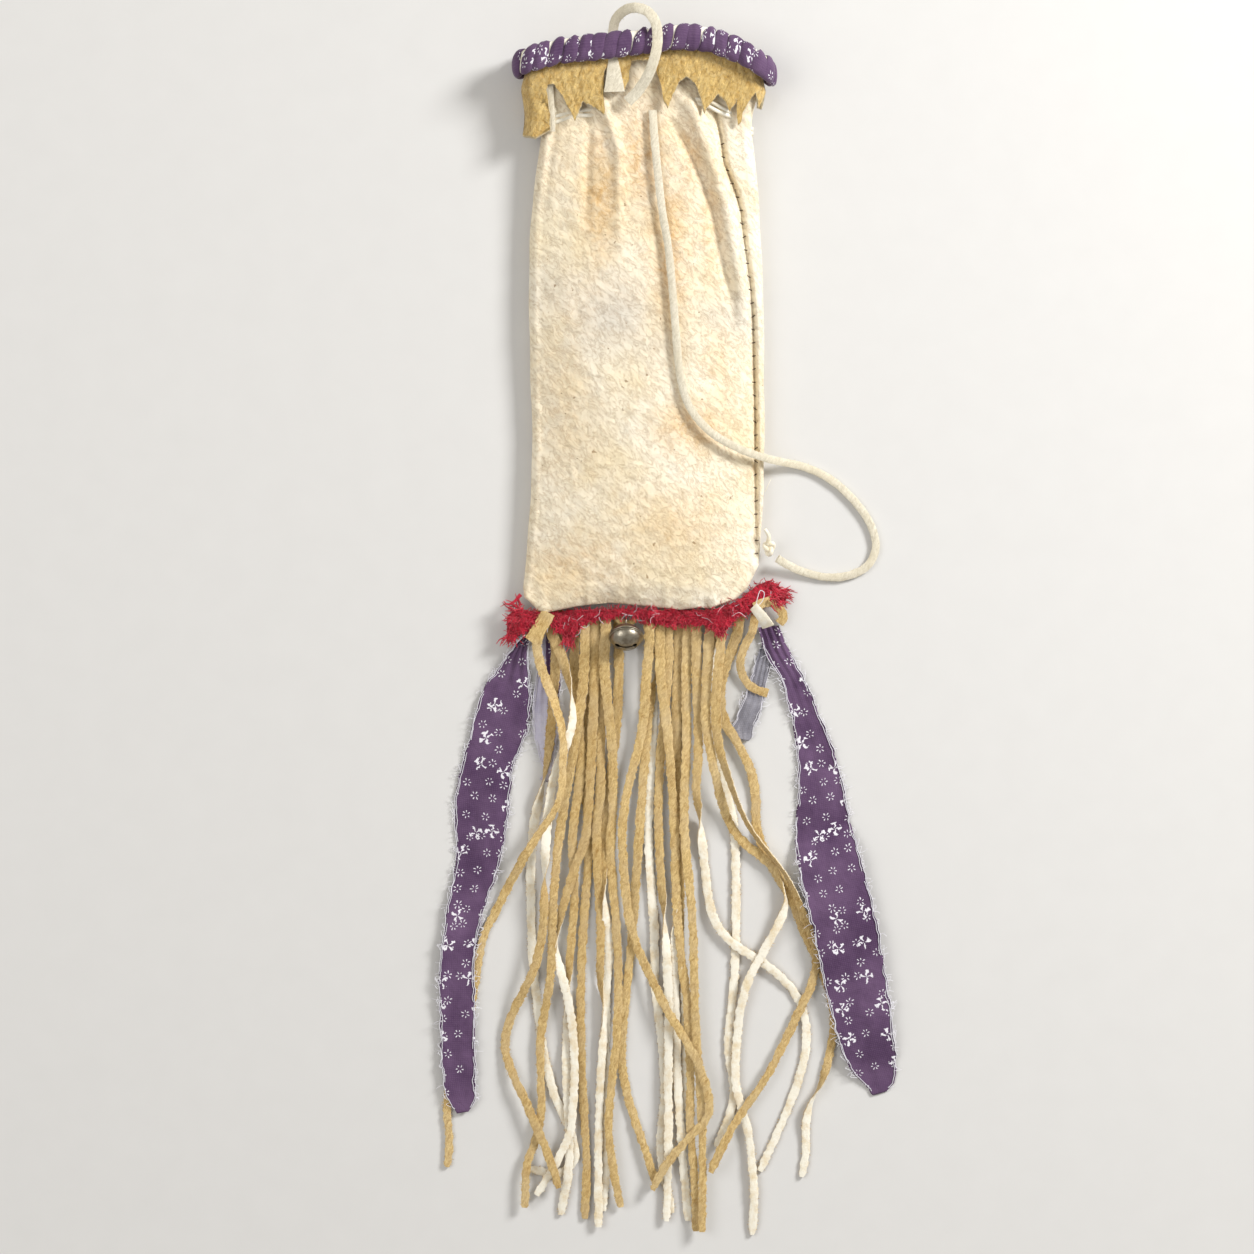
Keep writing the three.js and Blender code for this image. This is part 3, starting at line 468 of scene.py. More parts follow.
def evened(values, reach):
    kernel = np.hanning(2 * reach + 3)[1:-1]
    padded = np.pad(values, reach, mode="edge")
    return np.convolve(padded, kernel / kernel.sum(), mode="valid")


suede_thong = thong_finish("suede_thong", (0.45, 0.26, 0.075), (0.88, 0.66, 0.3), (0.74, 0.6, 0.38),
                           (0.9, 0.85, 0.72), 0.9 * MM)
for number, route in enumerate(fringe_routes, 1):
    name = f"fringe_thong_{number:02d}"
    own_name = f"fringe_{number:02d}"
    flat_line = smooth_line(route, 1.3 * MM)
    count = len(flat_line)
    top = height_over(surface_of(name), flat_line)
    roll_keys = rolled_over.get(number, [(0, 0)])
    ys = [-y for y, _ in roll_keys]
    roll = np.radians(np.interp(-flat_line[:, 1], ys, [d for _, d in roll_keys]))
    roll = evened(roll, 9) + 0.22 * wander(count, 0.05, number)
    widths = np.interp(np.arange(count) / count, [0, 0.3, 1], [5.2 * MM, 4.5 * MM, 4.0 * MM])
    widths *= 1 + 0.1 * wander(count, 0.07, number + 40)
    widths[-4:] *= [0.97, 0.9, 0.8, 0.66]
    reach = widths / 2 * np.abs(np.sin(roll)) + THONG / 2 * np.abs(np.cos(roll))
    near = np.array([reach[max(0, k - 3):k + 4].max() for k in range(count)])
    middle = np.maximum(evened(top, 4) - 0.6 * MM, evened(near, 3) + 0.15 * MM)
    line = np.column_stack([flat_line, middle])
    thong = cut_strip(own_name, line, widths, THONG, suede_thong, roll, 0.38 * MM, 6, 330, number)
    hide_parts(name)

# ---- pouch ----
# A sack of soft cream buckskin, folded and sewn up the right side and along the bottom.
# The neck is drawn together, so pleats run down from it; the front is creased and stained.
HIDE = 1.5 * MM
# From the bottom seam to the mouth: y, left, right, back, front, edge share, share of the arch.
pouch_rows = [
    (0.00875, -0.0655, 0.024, 0.006, 0.0096, 1, 0),
    (0.01275, -0.0712, 0.0342, 0.004, 0.0124, 0.8, 0),
    (0.01875, -0.0718, 0.0407, 0.0016, 0.0154, 0.6, 0),
    (0.03, -0.0708, 0.046, 0, 0.018, 0.5, 0),
    (0.052, -0.0688, 0.048, 0, 0.0205, 0.45, 0),
    (0.088, -0.0673, 0.049, 0, 0.022, 0.45, 0),
    (0.123, -0.068, 0.049, 0, 0.022, 0.45, 0),
    (0.158, -0.069, 0.0488, 0, 0.021, 0.5, 0),
    (0.193, -0.0685, 0.0475, 0, 0.0195, 0.55, 0),
    (0.22, -0.0665, 0.0455, 0.0008, 0.0182, 0.65, 0),
    (0.238, -0.064, 0.0435, 0.0026, 0.0174, 0.75, 0),
    (0.248, -0.0625, 0.042, 0.0042, 0.0168, 0.8, 0),
    (0.258, -0.064, 0.043, 0.0052, 0.0166, 0.85, 0.2),
    (0.267, -0.067, 0.0452, 0.0066, 0.0167, 0.9, 0.5),
    (0.283, -0.0684, 0.0458, 0.0082, 0.0168, 1, 1),
    (0.293, -0.0684, 0.0458, 0.0082, 0.0168, 1, 1),
]
rim_arch = [(-0.078, 0.279), (-0.053, 0.286), (-0.033, 0.288), (-0.013, 0.2905), (0.005, 0.293),
            (0.02, 0.292), (0.036, 0.286), (0.056, 0.274)]
ARCH_TOP = 0.29
seam_wave = [(-0.07, 0.0015), (-0.061, -0.0015), (-0.053, 0), (-0.043, 0.002), (-0.028, 0.0035),
             (-0.013, 0.002), (0.007, 0), (0.017, 0.001), (0.03, 0)]


def along(pairs, at):
    """Values of a list of (place, value) pairs, with straight runs between them."""
    return np.interp(at, [p[0] for p in pairs], [p[1] for p in pairs])


def sections_at(heights):
    """left, right, back, front and edge share of the pouch at each height."""
    rows = np.array(pouch_rows)
    return np.column_stack([np.interp(heights, rows[:, 0], rows[:, k]) for k in range(1, 7)])


def oval(section, u, grow=0.0):
    """Points of the flattened section: u is 0-1 along the back, 1-2 round the right side,
    2-3 along the front and 3-4 round the left side."""
    left, right, back, front = (section[..., k] for k in range(4))
    left, right, back, front = left - grow, right + grow, back - grow, front + grow
    edge_height = (front - back) * section[..., 4]
    r = edge_height / 2
    dome = front - back - edge_height
    start, end = left + r, right - r
    turn = (u % 1) * math.pi
    across = u % 1
    x = np.select([u < 1, u < 2, u < 3], [start + (end - start) * across, end + r * np.sin(turn),
                  end + (start - end) * across], start - r * np.sin(turn))
    side = 2 * across - 1
    z = np.select([u < 1, u < 2, u < 3], [back, back + r - r * np.cos(turn),
                  back + edge_height + dome * (1 - side**2)], back + r + r * np.cos(turn))
    return x, z


# Lines of the folds that run down from the neck, as (y, x), with depth and half width.
deep_fold = [(0.02, 0.0452), (0.1, 0.0446), (0.1534, 0.0433), (0.171, 0.0418), (0.1848, 0.0398),
             (0.208, 0.037), (0.2173, 0.0343), (0.2313, 0.0288), (0.2448, 0.0272), (0.262, 0.0235)]
neck_roll = [(0.13, 0.0395), (0.1638, 0.0382), (0.1848, 0.0353), (0.2082, 0.0303), (0.2358, 0.0213),
             (0.2672, 0.0088)]
neck_valley = [(0.14, 0.0345), (0.1638, 0.0325), (0.1848, 0.0275), (0.2082, 0.0228), (0.2247, 0.0173),
               (0.2422, 0.0083), (0.2562, -0.0008)]
left_pleat = [(0.17, -0.0225), (0.1897, -0.0233), (0.2387, -0.0243), (0.2727, -0.037)]
left_valley = [(0.18, -0.0405), (0.2207, -0.0398), (0.25, -0.0388), (0.268, -0.043)]
centre_valley = [(0.15, 0.0005), (0.2, -0.0035), (0.24, -0.0075), (0.26, -0.009)]
left_creases = [(0.2, -0.062), (0.235, -0.058), (0.262, -0.052)]


def folded(x, y, line, height, half, fade_low, fade_high):
    """Height of a fold that follows a line; it fades out below one y and above another."""
    off = (x - along(line, y)) / half
    low, high = line[0][0], line[-1][0]
    fade = np.clip((y - low) / fade_low, 0, 1) * np.clip((high - y) / fade_high, 0, 1)
    fade = fade * fade * (3 - 2 * fade)
    return height * fade * np.exp(-(off**2))


def pouch_folds(x, y):
    lift = folded(x, y, deep_fold, -4.2 * MM, 1.5 * MM, 0.02, 0.004)
    lift += folded(x, y, neck_roll, 4.2 * MM, 4.6 * MM, 0.05, 0.01)
    lift += folded(x, y, neck_valley, -3.0 * MM, 2.8 * MM, 0.04, 0.01)
    lift += folded(x, y, left_pleat, 2.8 * MM, 3.0 * MM, 0.07, 0.004)
    lift += folded(x, y, left_valley, -1.5 * MM, 2.4 * MM, 0.05, 0.01)
    lift += folded(x, y, centre_valley, -1.4 * MM, 4 * MM, 0.06, 0.01)
    lift += folded(x, y, left_creases, -1.0 * MM, 2 * MM, 0.03, 0.02)
    return lift


def swirl(x, y, wave, turn, squeeze, seed):
    """Noise over the front, stretched along one direction."""
    c, s = math.cos(turn), math.sin(turn)
    a, b = (c * x + s * y) / wave, (c * y - s * x) / (wave * squeeze)
    flat = zip(a.ravel(), b.ravel())
    found = [noise.noise(Vector((p, q, seed))) for p, q in flat]
    return np.array(found).reshape(x.shape)


ROUND, UP = 226, 190
u_places = np.concatenate([np.linspace(0, 1, 60, False), np.linspace(1, 2, 24, False),
                           np.linspace(2, 3, ROUND - 108, False), np.linspace(3, 4, 24, False)])
heights = np.concatenate([np.linspace(0.00875, 0.03, 22, False), np.linspace(0.03, 0.293, UP - 22)])
sections = sections_at(heights)
for column in range(5):
    sections[24:, column] = evened(sections[:, column], 6)[24:]
x, z = oval(sections[:, None, :], u_places[None, :])
y = heights[:, None] + sections[:, None, 5] * (along(rim_arch, x) - ARCH_TOP)
y += along(seam_wave, x) * np.clip((0.026 - heights[:, None]) / 0.01725, 0, 1)

front = np.clip(np.minimum(u_places - 1.5, 3.5 - u_places) * 2.2, 0, 1)[None, :] * np.ones_like(x)
under_rim = np.clip((0.284 - y) / 0.012, 0, 1)
wrinkle = 0.55 * swirl(x, y, 9 * MM, -0.5, 0.38, 3.1) + 0.4 * swirl(x, y, 5 * MM, 0.4, 0.5, 8.7)
ridges = 1 - 2 * np.abs(swirl(x, y, 16 * MM, -0.35, 0.34, 5.5))
left_side = np.clip((-0.03 - x) / 0.03, 0, 1)
lively = 0.3 + 0.5 * left_side + 0.5 * np.clip((y - 0.15) / 0.1, 0, 1)
broad = swirl(x, y, 55 * MM, 0.2, 0.8, 1.9)
lift = pouch_folds(x, y) * under_rim
lift += (0.5 * MM * wrinkle + 0.5 * MM * (ridges**3) * lively + 1.3 * MM * broad) * under_rim
# The bottom edge is drawn in by its stitches.
pucker = 0.5 + 0.5 * np.cos(2 * math.pi * (x + 0.002 * np.sin(x * 310)) / 0.0125)
near_seam = np.clip((0.03 - heights) / 0.022, 0, 1)[:, None]
lift += (1.1 * MM * pucker - 0.5 * MM) * near_seam
z = z + lift * front
sway = 0.5 * MM * swirl(y, z, 22 * MM, 0, 1, 4.4)
x = x + sway * (1 - front) * under_rim * ((u_places > 1)[None, :])

rings = [np.column_stack([x[k], y[k], z[k]]) for k in range(UP)]
middle_z = (sections[0, 2] + sections[0, 3]) / 2
hem = rings[0].copy()
hem[:, 1] -= 0.8 * MM
hem[:, 2] = middle_z + (hem[:, 2] - middle_z) * 0.45
rings.insert(0, hem)
sewn = hem.copy()
sewn[:, 2] = middle_z
rings.insert(0, sewn)
verts = np.concatenate(rings)
faces = net_of(len(rings), ROUND)

# Stains: (x, y, reach across, reach along, strength); amber where hands held it, grey where worn.
amber_marks = [
    (-0.033, 0.215, 0.01, 0.035, 1.0), (-0.012, 0.235, 0.014, 0.03, 0.9), (0.002, 0.19, 0.012, 0.05, 0.8),
    (0.012, 0.098, 0.018, 0.014, 0.9), (-0.03, 0.16, 0.03, 0.02, 0.45), (-0.045, 0.03, 0.03, 0.018, 0.5),
    (0.004, 0.05, 0.03, 0.02, 0.45), (0.027, 0.13, 0.01, 0.03, 0.5), (-0.05, 0.11, 0.02, 0.05, 0.3),
    (0.012, 0.235, 0.007, 0.02, 0.8), (0.022, 0.2, 0.006, 0.03, 0.7), (-0.055, 0.235, 0.012, 0.02, 0.3),
]
grey_marks = [
    (-0.025, 0.155, 0.018, 0.016, 1.0), (0.03, 0.155, 0.02, 0.012, 0.7),
    (-0.055, 0.17, 0.015, 0.01, 0.5), (-0.005, 0.14, 0.03, 0.01, 0.5),
]


def stained(points, marks):
    found = np.zeros(len(points))
    for mark_x, mark_y, reach_x, reach_y, strength in marks:
        off = ((points[:, 0] - mark_x) / reach_x) ** 2 + ((points[:, 1] - mark_y) / reach_y) ** 2
        found = np.maximum(found, strength * np.exp(-off))
    return found


def buckskin_finish():
    """Cream buckskin: a fine net of creases painted darker and warmer as shade, with amber and grey marks.
    """
    made, tree, shader = new_finish("buckskin", 0.82, sheen=0.12, specular=0.22)
    place = object_place(tree)
    warp = cloudy(tree, place, 110, 3, 0.6)
    patches = spread(tree, cloudy(tree, place, 32, 4, 0.6, 0.3), 0.36, 0.66)
    tint = mixed(tree, patches, (0.94, 0.87, 0.71), (0.88, 0.76, 0.53))
    mottling = spread(tree, cloudy(tree, place, 150, 5, 0.72, 0.5), 0.42, 0.7)
    amber = sums(tree, "MULTIPLY", painted(tree, "amber"), spread(tree, mottling, 0, 1, 0.35, 1.0))
    tint = mixed(tree, amber, tint, (0.74, 0.44, 0.15))
    tint = mixed(tree, sums(tree, "MULTIPLY", painted(tree, "grey"), 0.75), tint, (0.69, 0.65, 0.57))
    crease_long = cloudy(tree, stretched(tree, place, (1, 2.6, 1), 0.8), 120, 6, 0.66, 1.1)
    lines = spread(tree, sums(tree, "ABSOLUTE", sums(tree, "SUBTRACT", crease_long, 0.5)), 0.0, 0.035)
    crease_fine = cloudy(tree, stretched(tree, place, (1, 2.4, 1), 0.95), 330, 4, 0.6, 0.8)
    net = spread(tree, sums(tree, "ABSOLUTE", sums(tree, "SUBTRACT", crease_fine, 0.5)), 0.0, 0.045)
    pebble = cloudy(tree, place, 1300, 3, 0.6)
    # Painted shade: the crease lines and the finer net darken the tint here, and grey is the tan colour of
    # that painted shade, not a grey mark.
    shade = sums(tree, "MULTIPLY", spread(tree, lines, 0, 1, 0.86, 1), spread(tree, net, 0, 1, 0.965, 1))
    shaded = node(tree, "Mix", {"data_type": "RGBA", "blend_type": "MULTIPLY"}, i0=1.0, i6=tint)
    grey = node(tree, "CombineColor", None, Red=shade, Green=spread(tree, shade, 0.6, 1, 0.4, 1),
                Blue=spread(tree, shade, 0.6, 1, 0.2, 1))
    tree.links.new(grey.outputs[0], shaded.inputs[7])
    specks = spread(tree, cloudy(tree, place, 260, 2, 0.4), 0.735, 0.76)
    final = mixed(tree, sums(tree, "MULTIPLY", specks, 0.65), shaded.outputs[2], (0.3, 0.17, 0.07))
    tree.links.new(final, shader.inputs["Base Color"])
    bumpy = relief(tree, lines, 0.11 * MM)
    bumpy = relief(tree, net, 0.035 * MM, bumpy)
    bumpy = relief(tree, pebble, 0.045 * MM, bumpy)
    bumpy = relief(tree, warp, 1.6 * MM, bumpy)
    tree.links.new(bumpy, shader.inputs["Normal"])
    return made


buckskin = buckskin_finish()
paint = {"amber": stained(verts, amber_marks), "grey": stained(verts, grey_marks)}
pouch = new_piece("pouch", verts, faces, buckskin, painting=paint)


def apply_all(piece):
    bpy.context.view_layer.objects.active = piece
    piece.select_set(True)
    for modifier in list(piece.modifiers):
        bpy.ops.object.modifier_apply(modifier=modifier.name)
    piece.select_set(False)


def merge_doubles(piece, reach):
    shape = bmesh.new()
    shape.from_mesh(piece.data)
    bmesh.ops.remove_doubles(shape, verts=shape.verts, dist=reach)
    bmesh.ops.recalc_face_normals(shape, faces=shape.faces)
    shape.to_mesh(piece.data)
    shape.free()


merge_doubles(pouch, 0.02 * MM)
wall = pouch.modifiers.new("wall", "SOLIDIFY")
wall.thickness = HIDE
wall.offset = -1
apply_all(pouch)
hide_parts("bag_body")

# ---- side seam ----
# Dark sinew stitches pulled down into the crease that runs along the right side.
STITCH_LENGTH = 1.7 * MM
sinew, tree, shader = new_finish("sinew", 0.6)
tint = mixed(tree, cloudy(tree, object_place(tree), 900), (0.035, 0.025, 0.02), (0.13, 0.08, 0.05))
tree.links.new(tint, shader.inputs["Base Color"])


def tube(verts, faces, line, thick, sides=4):
    """Adds a closed round tube along a line; thick is its diameter, even or at each point."""
    line = np.asarray(line, float)
    ahead, side, up = directions(line + np.linspace(0, 1e-7, len(line))[:, None])
    first = len(verts)
    thicks = np.broadcast_to(thick, len(line))
    for k in range(len(line)):
        for j in range(sides):
            a = 2 * math.pi * j / sides
            verts.append(line[k] + thicks[k] / 2 * (math.cos(a) * side[k] + math.sin(a) * up[k]))
    for k in range(len(line) - 1):
        for j in range(sides):
            a, b = first + k * sides, first + (k + 1) * sides
            faces.append((a + j, a + (j + 1) % sides, b + (j + 1) % sides, b + j))
    faces.append(tuple(range(first, first + sides)))
    faces.append(tuple(range(first + (len(line) - 1) * sides, first + len(line) * sides)))


pouch_surface = surface_of(pouch)
verts, faces = [], []
rng = random.Random(11)
for k, at in enumerate(np.arange(0.036, 0.246, 0.0066)):
    middle_x = float(along(deep_fold, at)) + rng.uniform(-0.3, 0.3) * MM
    slant = rng.uniform(-0.6, 0.6) * MM
    ends = [(middle_x + s * STITCH_LENGTH / 2, at + s * slant) for s in np.linspace(-1, 1, 5)]
    high = height_over(pouch_surface, ends, 0.1)
    tube(verts, faces, [(ex, ey, h + 0.05 * MM) for (ex, ey), h in zip(ends, high)], 0.5 * MM, 6)
side_stitches = new_piece("side_stitches", verts, faces, sinew)

# ---- drawstring ----
# A lace of white hide threaded in and out of slits round the neck, under the collar.
# It shows between the teeth at the left and, doubled, at the right.
LACE_DROP = 31 * MM
rim_inner = np.array([-0.0712, 0.0492, 0.0063, 0.0205, 1])
rim_outer = np.array([-0.0772, 0.0552, 0.0004, 0.0264, 1])


def round_the_neck(u, height, grow):
    """A point u round the pouch at a height, grown off its surface."""
    x, z = oval(sections_at(np.atleast_1d(height)), np.atleast_1d(u), grow)
    return float(x[0]), float(z[0])


# Where the drawstring lies outside the hide: from u to u round the neck.
outside = [(0.1, 0.3), (0.5, 0.7), (1.2, 1.6), (2.07, 2.24), (3.5, 3.9)]


def neck_ring(count, drop):
    line = []
    for u in np.linspace(0, 4, count, False):
        x = float(oval(rim_inner[None, :], np.array([u]))[0][0])
        height = float(along(rim_arch, x)) - drop
        shown = max(min((u - a) / 0.03, (b - u) / 0.03, 1) for a, b in outside)
        px, pz = round_the_neck(u, height, 1.3 * MM if shown > 0 else -0.75 * MM)
        line.append((px, height, pz))
    return np.array(line)


ring_line = neck_ring(170, LACE_DROP)
verts, cloth, smooth_side, faces = [], [], [], []
for twin in (-1, 1):
    first = len(verts)
    for k in range(len(ring_line)):
        swing = 0.25 * MM * math.sin(k * 0.9 + twin)
        for j in range(8):
            a = 2 * math.pi * j / 8
            across = twin * 1.25 * MM + swing + 1.05 * MM * math.cos(a)
            verts.append(ring_line[k] + [0, across, 0.75 * MM * math.sin(a)])
            cloth.append((0.3 * MM * j, k * 1.6 * MM))
            smooth_side.append(1.0)
    for k in range(len(ring_line)):
        for j in range(8):
            a, b = first + k * 8, first + (k + 1) % len(ring_line) * 8
            faces.append((a + j, a + (j + 1) % 8, b + (j + 1) % 8, b + j))
neck_drawstring = new_piece("drawstring", verts, faces, lace_hide, cloth,
                            {"smooth_side": smooth_side})
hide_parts("neck_drawstring")

# ---- rolled rim ----
# A roll of white hide sewn round the mouth; it shows in the narrow gaps of the calico.
RIM_AXIAL = 6.6 * MM
CALICO = 0.5 * MM
WRAP_TURNS = 22


def roll_point(u, phi, inset):
    """Points of the roll: u round the mouth, phi round the roll."""
    ax, az = oval(rim_inner[None, :], u)
    bx, bz = oval(rim_outer[None, :], u)
    half = np.hypot(bx - ax, bz - az) / 2
    share = (half - inset) / half
    sine, cosine = np.sin(phi), np.cos(phi)
    boxy = [np.sign(v) * np.abs(v) ** 0.88 for v in (sine, cosine)]
    x = (ax + bx) / 2 + (bx - ax) / 2 * share * boxy[0]
    z = (az + bz) / 2 + (bz - az) / 2 * share * boxy[0]
    y = along(rim_arch, x) + (RIM_AXIAL - inset) * boxy[1]
    return np.column_stack([x, y, z])


AROUND, ABOUT = 300, 20
core_places = np.linspace(0, 4, AROUND, False)
verts = []
for k, u in enumerate(core_places):
    ring = roll_point(np.full(ABOUT, u), np.linspace(0, 2 * math.pi, ABOUT, False), CALICO + 0.55 * MM)
    puff = 0.25 * MM * noise.noise(Vector((k * 0.21, 2.2, 0)))
    verts.extend(ring + [0, puff, 0])
faces = net_of(AROUND, ABOUT, ends_meet=True)
paint = {"smooth_side": np.ones(len(verts))}
rim_core = new_piece("rim_core", verts, faces, lace_hide,
                     [(v[0], v[2]) for v in verts], paint)
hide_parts("rim_core_roll")

# ---- calico wrapping ----
# A torn strip of purple calico with small white sprigs, wound round the rolled rim.
# Each turn bulges between its edges, and the turns are a little uneven.


def sprig_mask(tree, cloth, spacing, arms, short, long, seed, bold):
    """White sprigs: a ring of small strokes round the middle of each cell."""
    shifted = node(tree, "VectorMath", {"operation": "ADD"}, i0=cloth, i1=(seed, seed * 0.7, 0))
    shifted = shifted.outputs[0]
    cell = node(tree, "TexVoronoi", {"voronoi_dimensions": "2D"}, Vector=shifted, Scale=1 / spacing,
                Randomness=0.55)
    offset = node(tree, "VectorMath", {"operation": "SUBTRACT"}, i0=shifted, i1=cell.outputs["Position"])
    parts = node(tree, "SeparateXYZ", None, i0=offset.outputs[0])
    own = node(tree, "SeparateXYZ", None, i0=cell.outputs["Color"])
    angle = sums(tree, "ARCTAN2", parts.outputs[0], parts.outputs[1])
    own_turn = sums(tree, "MULTIPLY", own.outputs[0], 20)
    turned = sums(tree, "ADD", sums(tree, "MULTIPLY", angle, arms), own_turn)
    sway = sums(tree, "MULTIPLY", cloudy(tree, cloth, 420, 2), 9.0 if bold else 4.0)
    turned = sums(tree, "ADD", turned, sway)
    stroke = sums(tree, "COSINE", turned)
    distance = node(tree, "VectorMath", {"operation": "LENGTH"}, i0=offset.outputs[0])
    distance = distance.outputs["Value"]
    wobble = sums(tree, "MULTIPLY", cloudy(tree, cloth, 700, 2), 2.0 * MM)
    distance = sums(tree, "ADD", distance, sums(tree, "SUBTRACT", wobble, 1.0 * MM))
    ring = sums(tree, "MULTIPLY", spread(tree, distance, short, short + 0.15 * MM),
                spread(tree, distance, long, long + 0.2 * MM, 1, 0))
    stroke_low, stroke_high = (0.35, 0.7) if bold else (0.5, 0.85)
    mask = sums(tree, "MULTIPLY", spread(tree, stroke, stroke_low, stroke_high), ring)
    keep = (0.36, 0.37, 0, 1) if bold else (0.78, 0.79, 1, 0)
    kept = spread(tree, own.outputs[1], *keep)
    return sums(tree, "MULTIPLY", mask, kept)


def calico_finish(name, deep, light, thread, printed=1.0, back_of=None):
    """Plain-weave cotton, faded in patches, with the print soaking less through to its back."""
    made, tree, shader = new_finish(name, 0.92, sheen=0.2, specular=0.15)
    cloth = cloth_place(tree)
    place = object_place(tree)
    fade = spread(tree, cloudy(tree, place, 45, 4, 0.6), 0.35, 0.68)
    tint = mixed(tree, fade, deep, light)
    weft, warp = (node(tree, "TexWave", {"bands_direction": way}, Vector=cloth, Scale=330.0,
                       Distortion=1.5).outputs[1] for way in "XY")
    weave = sums(tree, "MULTIPLY", weft, warp)
    tint = mixed(tree, spread(tree, weave, 0.1, 0.8, 0.0, 0.2), tint, thread)
    if back_of is not None:
        tint = mixed(tree, painted(tree, "print_side"), tint, back_of)
    small = sprig_mask(tree, cloth, 9 * MM, 6.0, 0.9 * MM, 1.9 * MM, 0.0, False)
    bold = sprig_mask(tree, cloth, 15 * MM, 4.0, 0.25 * MM, 3.3 * MM, 0.37, True)
    if back_of is not None:
        printed = sums(tree, "MAXIMUM", painted(tree, "print_side"), printed)
    print_mask = sums(tree, "MULTIPLY", sums(tree, "MAXIMUM", small, bold), printed)
    tint = mixed(tree, print_mask, tint, (0.82, 0.8, 0.84))
    tree.links.new(tint, shader.inputs["Base Color"])
    creases = cloudy(tree, place, 170, 4, 0.6, 0.6)
    bumpy = relief(tree, creases, 0.7 * MM)
    bumpy = relief(tree, weave, 0.06 * MM, bumpy)
    tree.links.new(bumpy, shader.inputs["Normal"])
    return made


calico = calico_finish("calico_print", (0.074, 0.036, 0.088), (0.142, 0.08, 0.158), (0.22, 0.15, 0.23))
mouth_places = np.linspace(0, 4, 401)
mouth_line = roll_point(mouth_places, np.zeros(401), 0)
mouth_gone = np.concatenate([[0], np.cumsum(np.linalg.norm(np.diff(mouth_line, axis=0), axis=1))])


def round_mouth(share):
    """u at a share of the way round the mouth."""
    return np.interp((np.asarray(share) % 1) * mouth_gone[-1], mouth_gone, mouth_places) % 4


PER_TURN, ACROSS = 44, 10
turn_steps = (WRAP_TURNS * 2 - 1) * PER_TURN
rng = random.Random(5)
turn_width = [rng.uniform(0.95, 1.25) for _ in range(2 * WRAP_TURNS + 1)]
turn_lean = [rng.uniform(-0.3, 0.3) for _ in range(2 * WRAP_TURNS + 1)]
turn_gap = [rng.choice((0.12, 0.2, 0.35, 0.62)) for _ in range(2 * WRAP_TURNS + 1)]
verts, cloth = [], []
turns = 2 * WRAP_TURNS
for k in range(turn_steps + 1):
    turn = k / PER_TURN
    phi = 2 * math.pi * turn
    wide = np.interp(turn, range(len(turn_width)), turn_width)
    lean = np.interp(turn, range(len(turn_lean)), turn_lean)
    crest = max(0.0, math.cos(phi)) ** 2
    half = 0.5 / turns * wide * (1 - np.interp(turn, range(len(turn_gap)), turn_gap) * crest)
    share = 0.27 + (turn + lean * 0.5) / turns
    c = np.linspace(-1, 1, ACROSS + 1)
    ring = roll_point(round_mouth(share + half * c), np.full(ACROSS + 1, phi), 0.55 * MM)
    inner = roll_point(round_mouth(share + half * c), np.full(ACROSS + 1, phi), 3 * MM)
    outward = (ring - inner) / np.linalg.norm(ring - inner, axis=1)[:, None]
    bulge = (0.95 * (1 - np.abs(c) ** 2.4) - 0.25 + 0.12 * (c + 1)) * MM
    fold = [0.4 * MM * noise.noise(Vector((turn * 3.1, q * 1.7, 4))) for q in c]
    verts.extend(ring + outward * (bulge + fold)[:, None])
    cloth.extend([(q * 5.2 * MM, turn * 0.031) for q in c])
faces = net_of(turn_steps + 1, ACROSS + 1, closed=False)
rim_wrap = new_piece("calico_wrapping", verts, faces, calico, cloth)
sheet_wall = rim_wrap.modifiers.new("cloth", "SOLIDIFY")
sheet_wall.thickness = 0.35 * MM
sheet_wall.offset = -1
apply_all(rim_wrap)
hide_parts("rim_calico_wrap")

# ---- suede collar ----
# Golden rough suede caught under the rim, its lower edge cut into teeth that overlap a little.
COLLAR = 1.2 * MM
front_teeth = [
    (50.5, 268), (47, 256), (44.6, 248.6), (43.6, 252), (42.3, 257), (41.4, 251), (40.2, 249.2), (38.6, 257),
    (37.6, 262), (36.6, 259.5), (34.8, 256), (31.5, 261), (26.8, 264.6), (24, 260), (20.8, 255), (18.2, 262),
    (14.6, 270), (10.3, 273), (6.6, 270.4), (3.6, 263.5), (0.9, 257.5), (-1.2, 261), (-3, 270), (-5.5, 278),
    (-9, 281.5), (-17.6, 281), (-18.6, 272.5), (-21.8, 266), (-28.8, 265.4), (-29.4, 272), (-29.8, 279),
    (-31.3, 276), (-33.6, 253.8), (-38, 257.6), (-44.3, 260.8), (-47.4, 256), (-50.3, 251), (-53, 259),
    (-55.6, 266.5), (-57.5, 269.6), (-60.6, 269.4), (-62.6, 262), (-64.2, 247), (-66.6, 242), (-70, 242.5),
]
collar_side = np.array([-0.0699, 0.0479, 0.0071, 0.0179, 1])


def collar_edge(u, x):
    """Height of the cut lower edge."""
    if 2.0 <= u <= 3.0:
        pairs = sorted((px * MM, py * MM) for px, py in front_teeth)
        return float(along(pairs, x))
    if 3.0 < u < 3.5:
        return 242.5 * MM + 4 * MM * (u - 3)
    zigzag = abs(((u * 3.2) % 1) - 0.5) * 2
    return (258 if u < 2 else 248) * MM + 8 * MM * zigzag


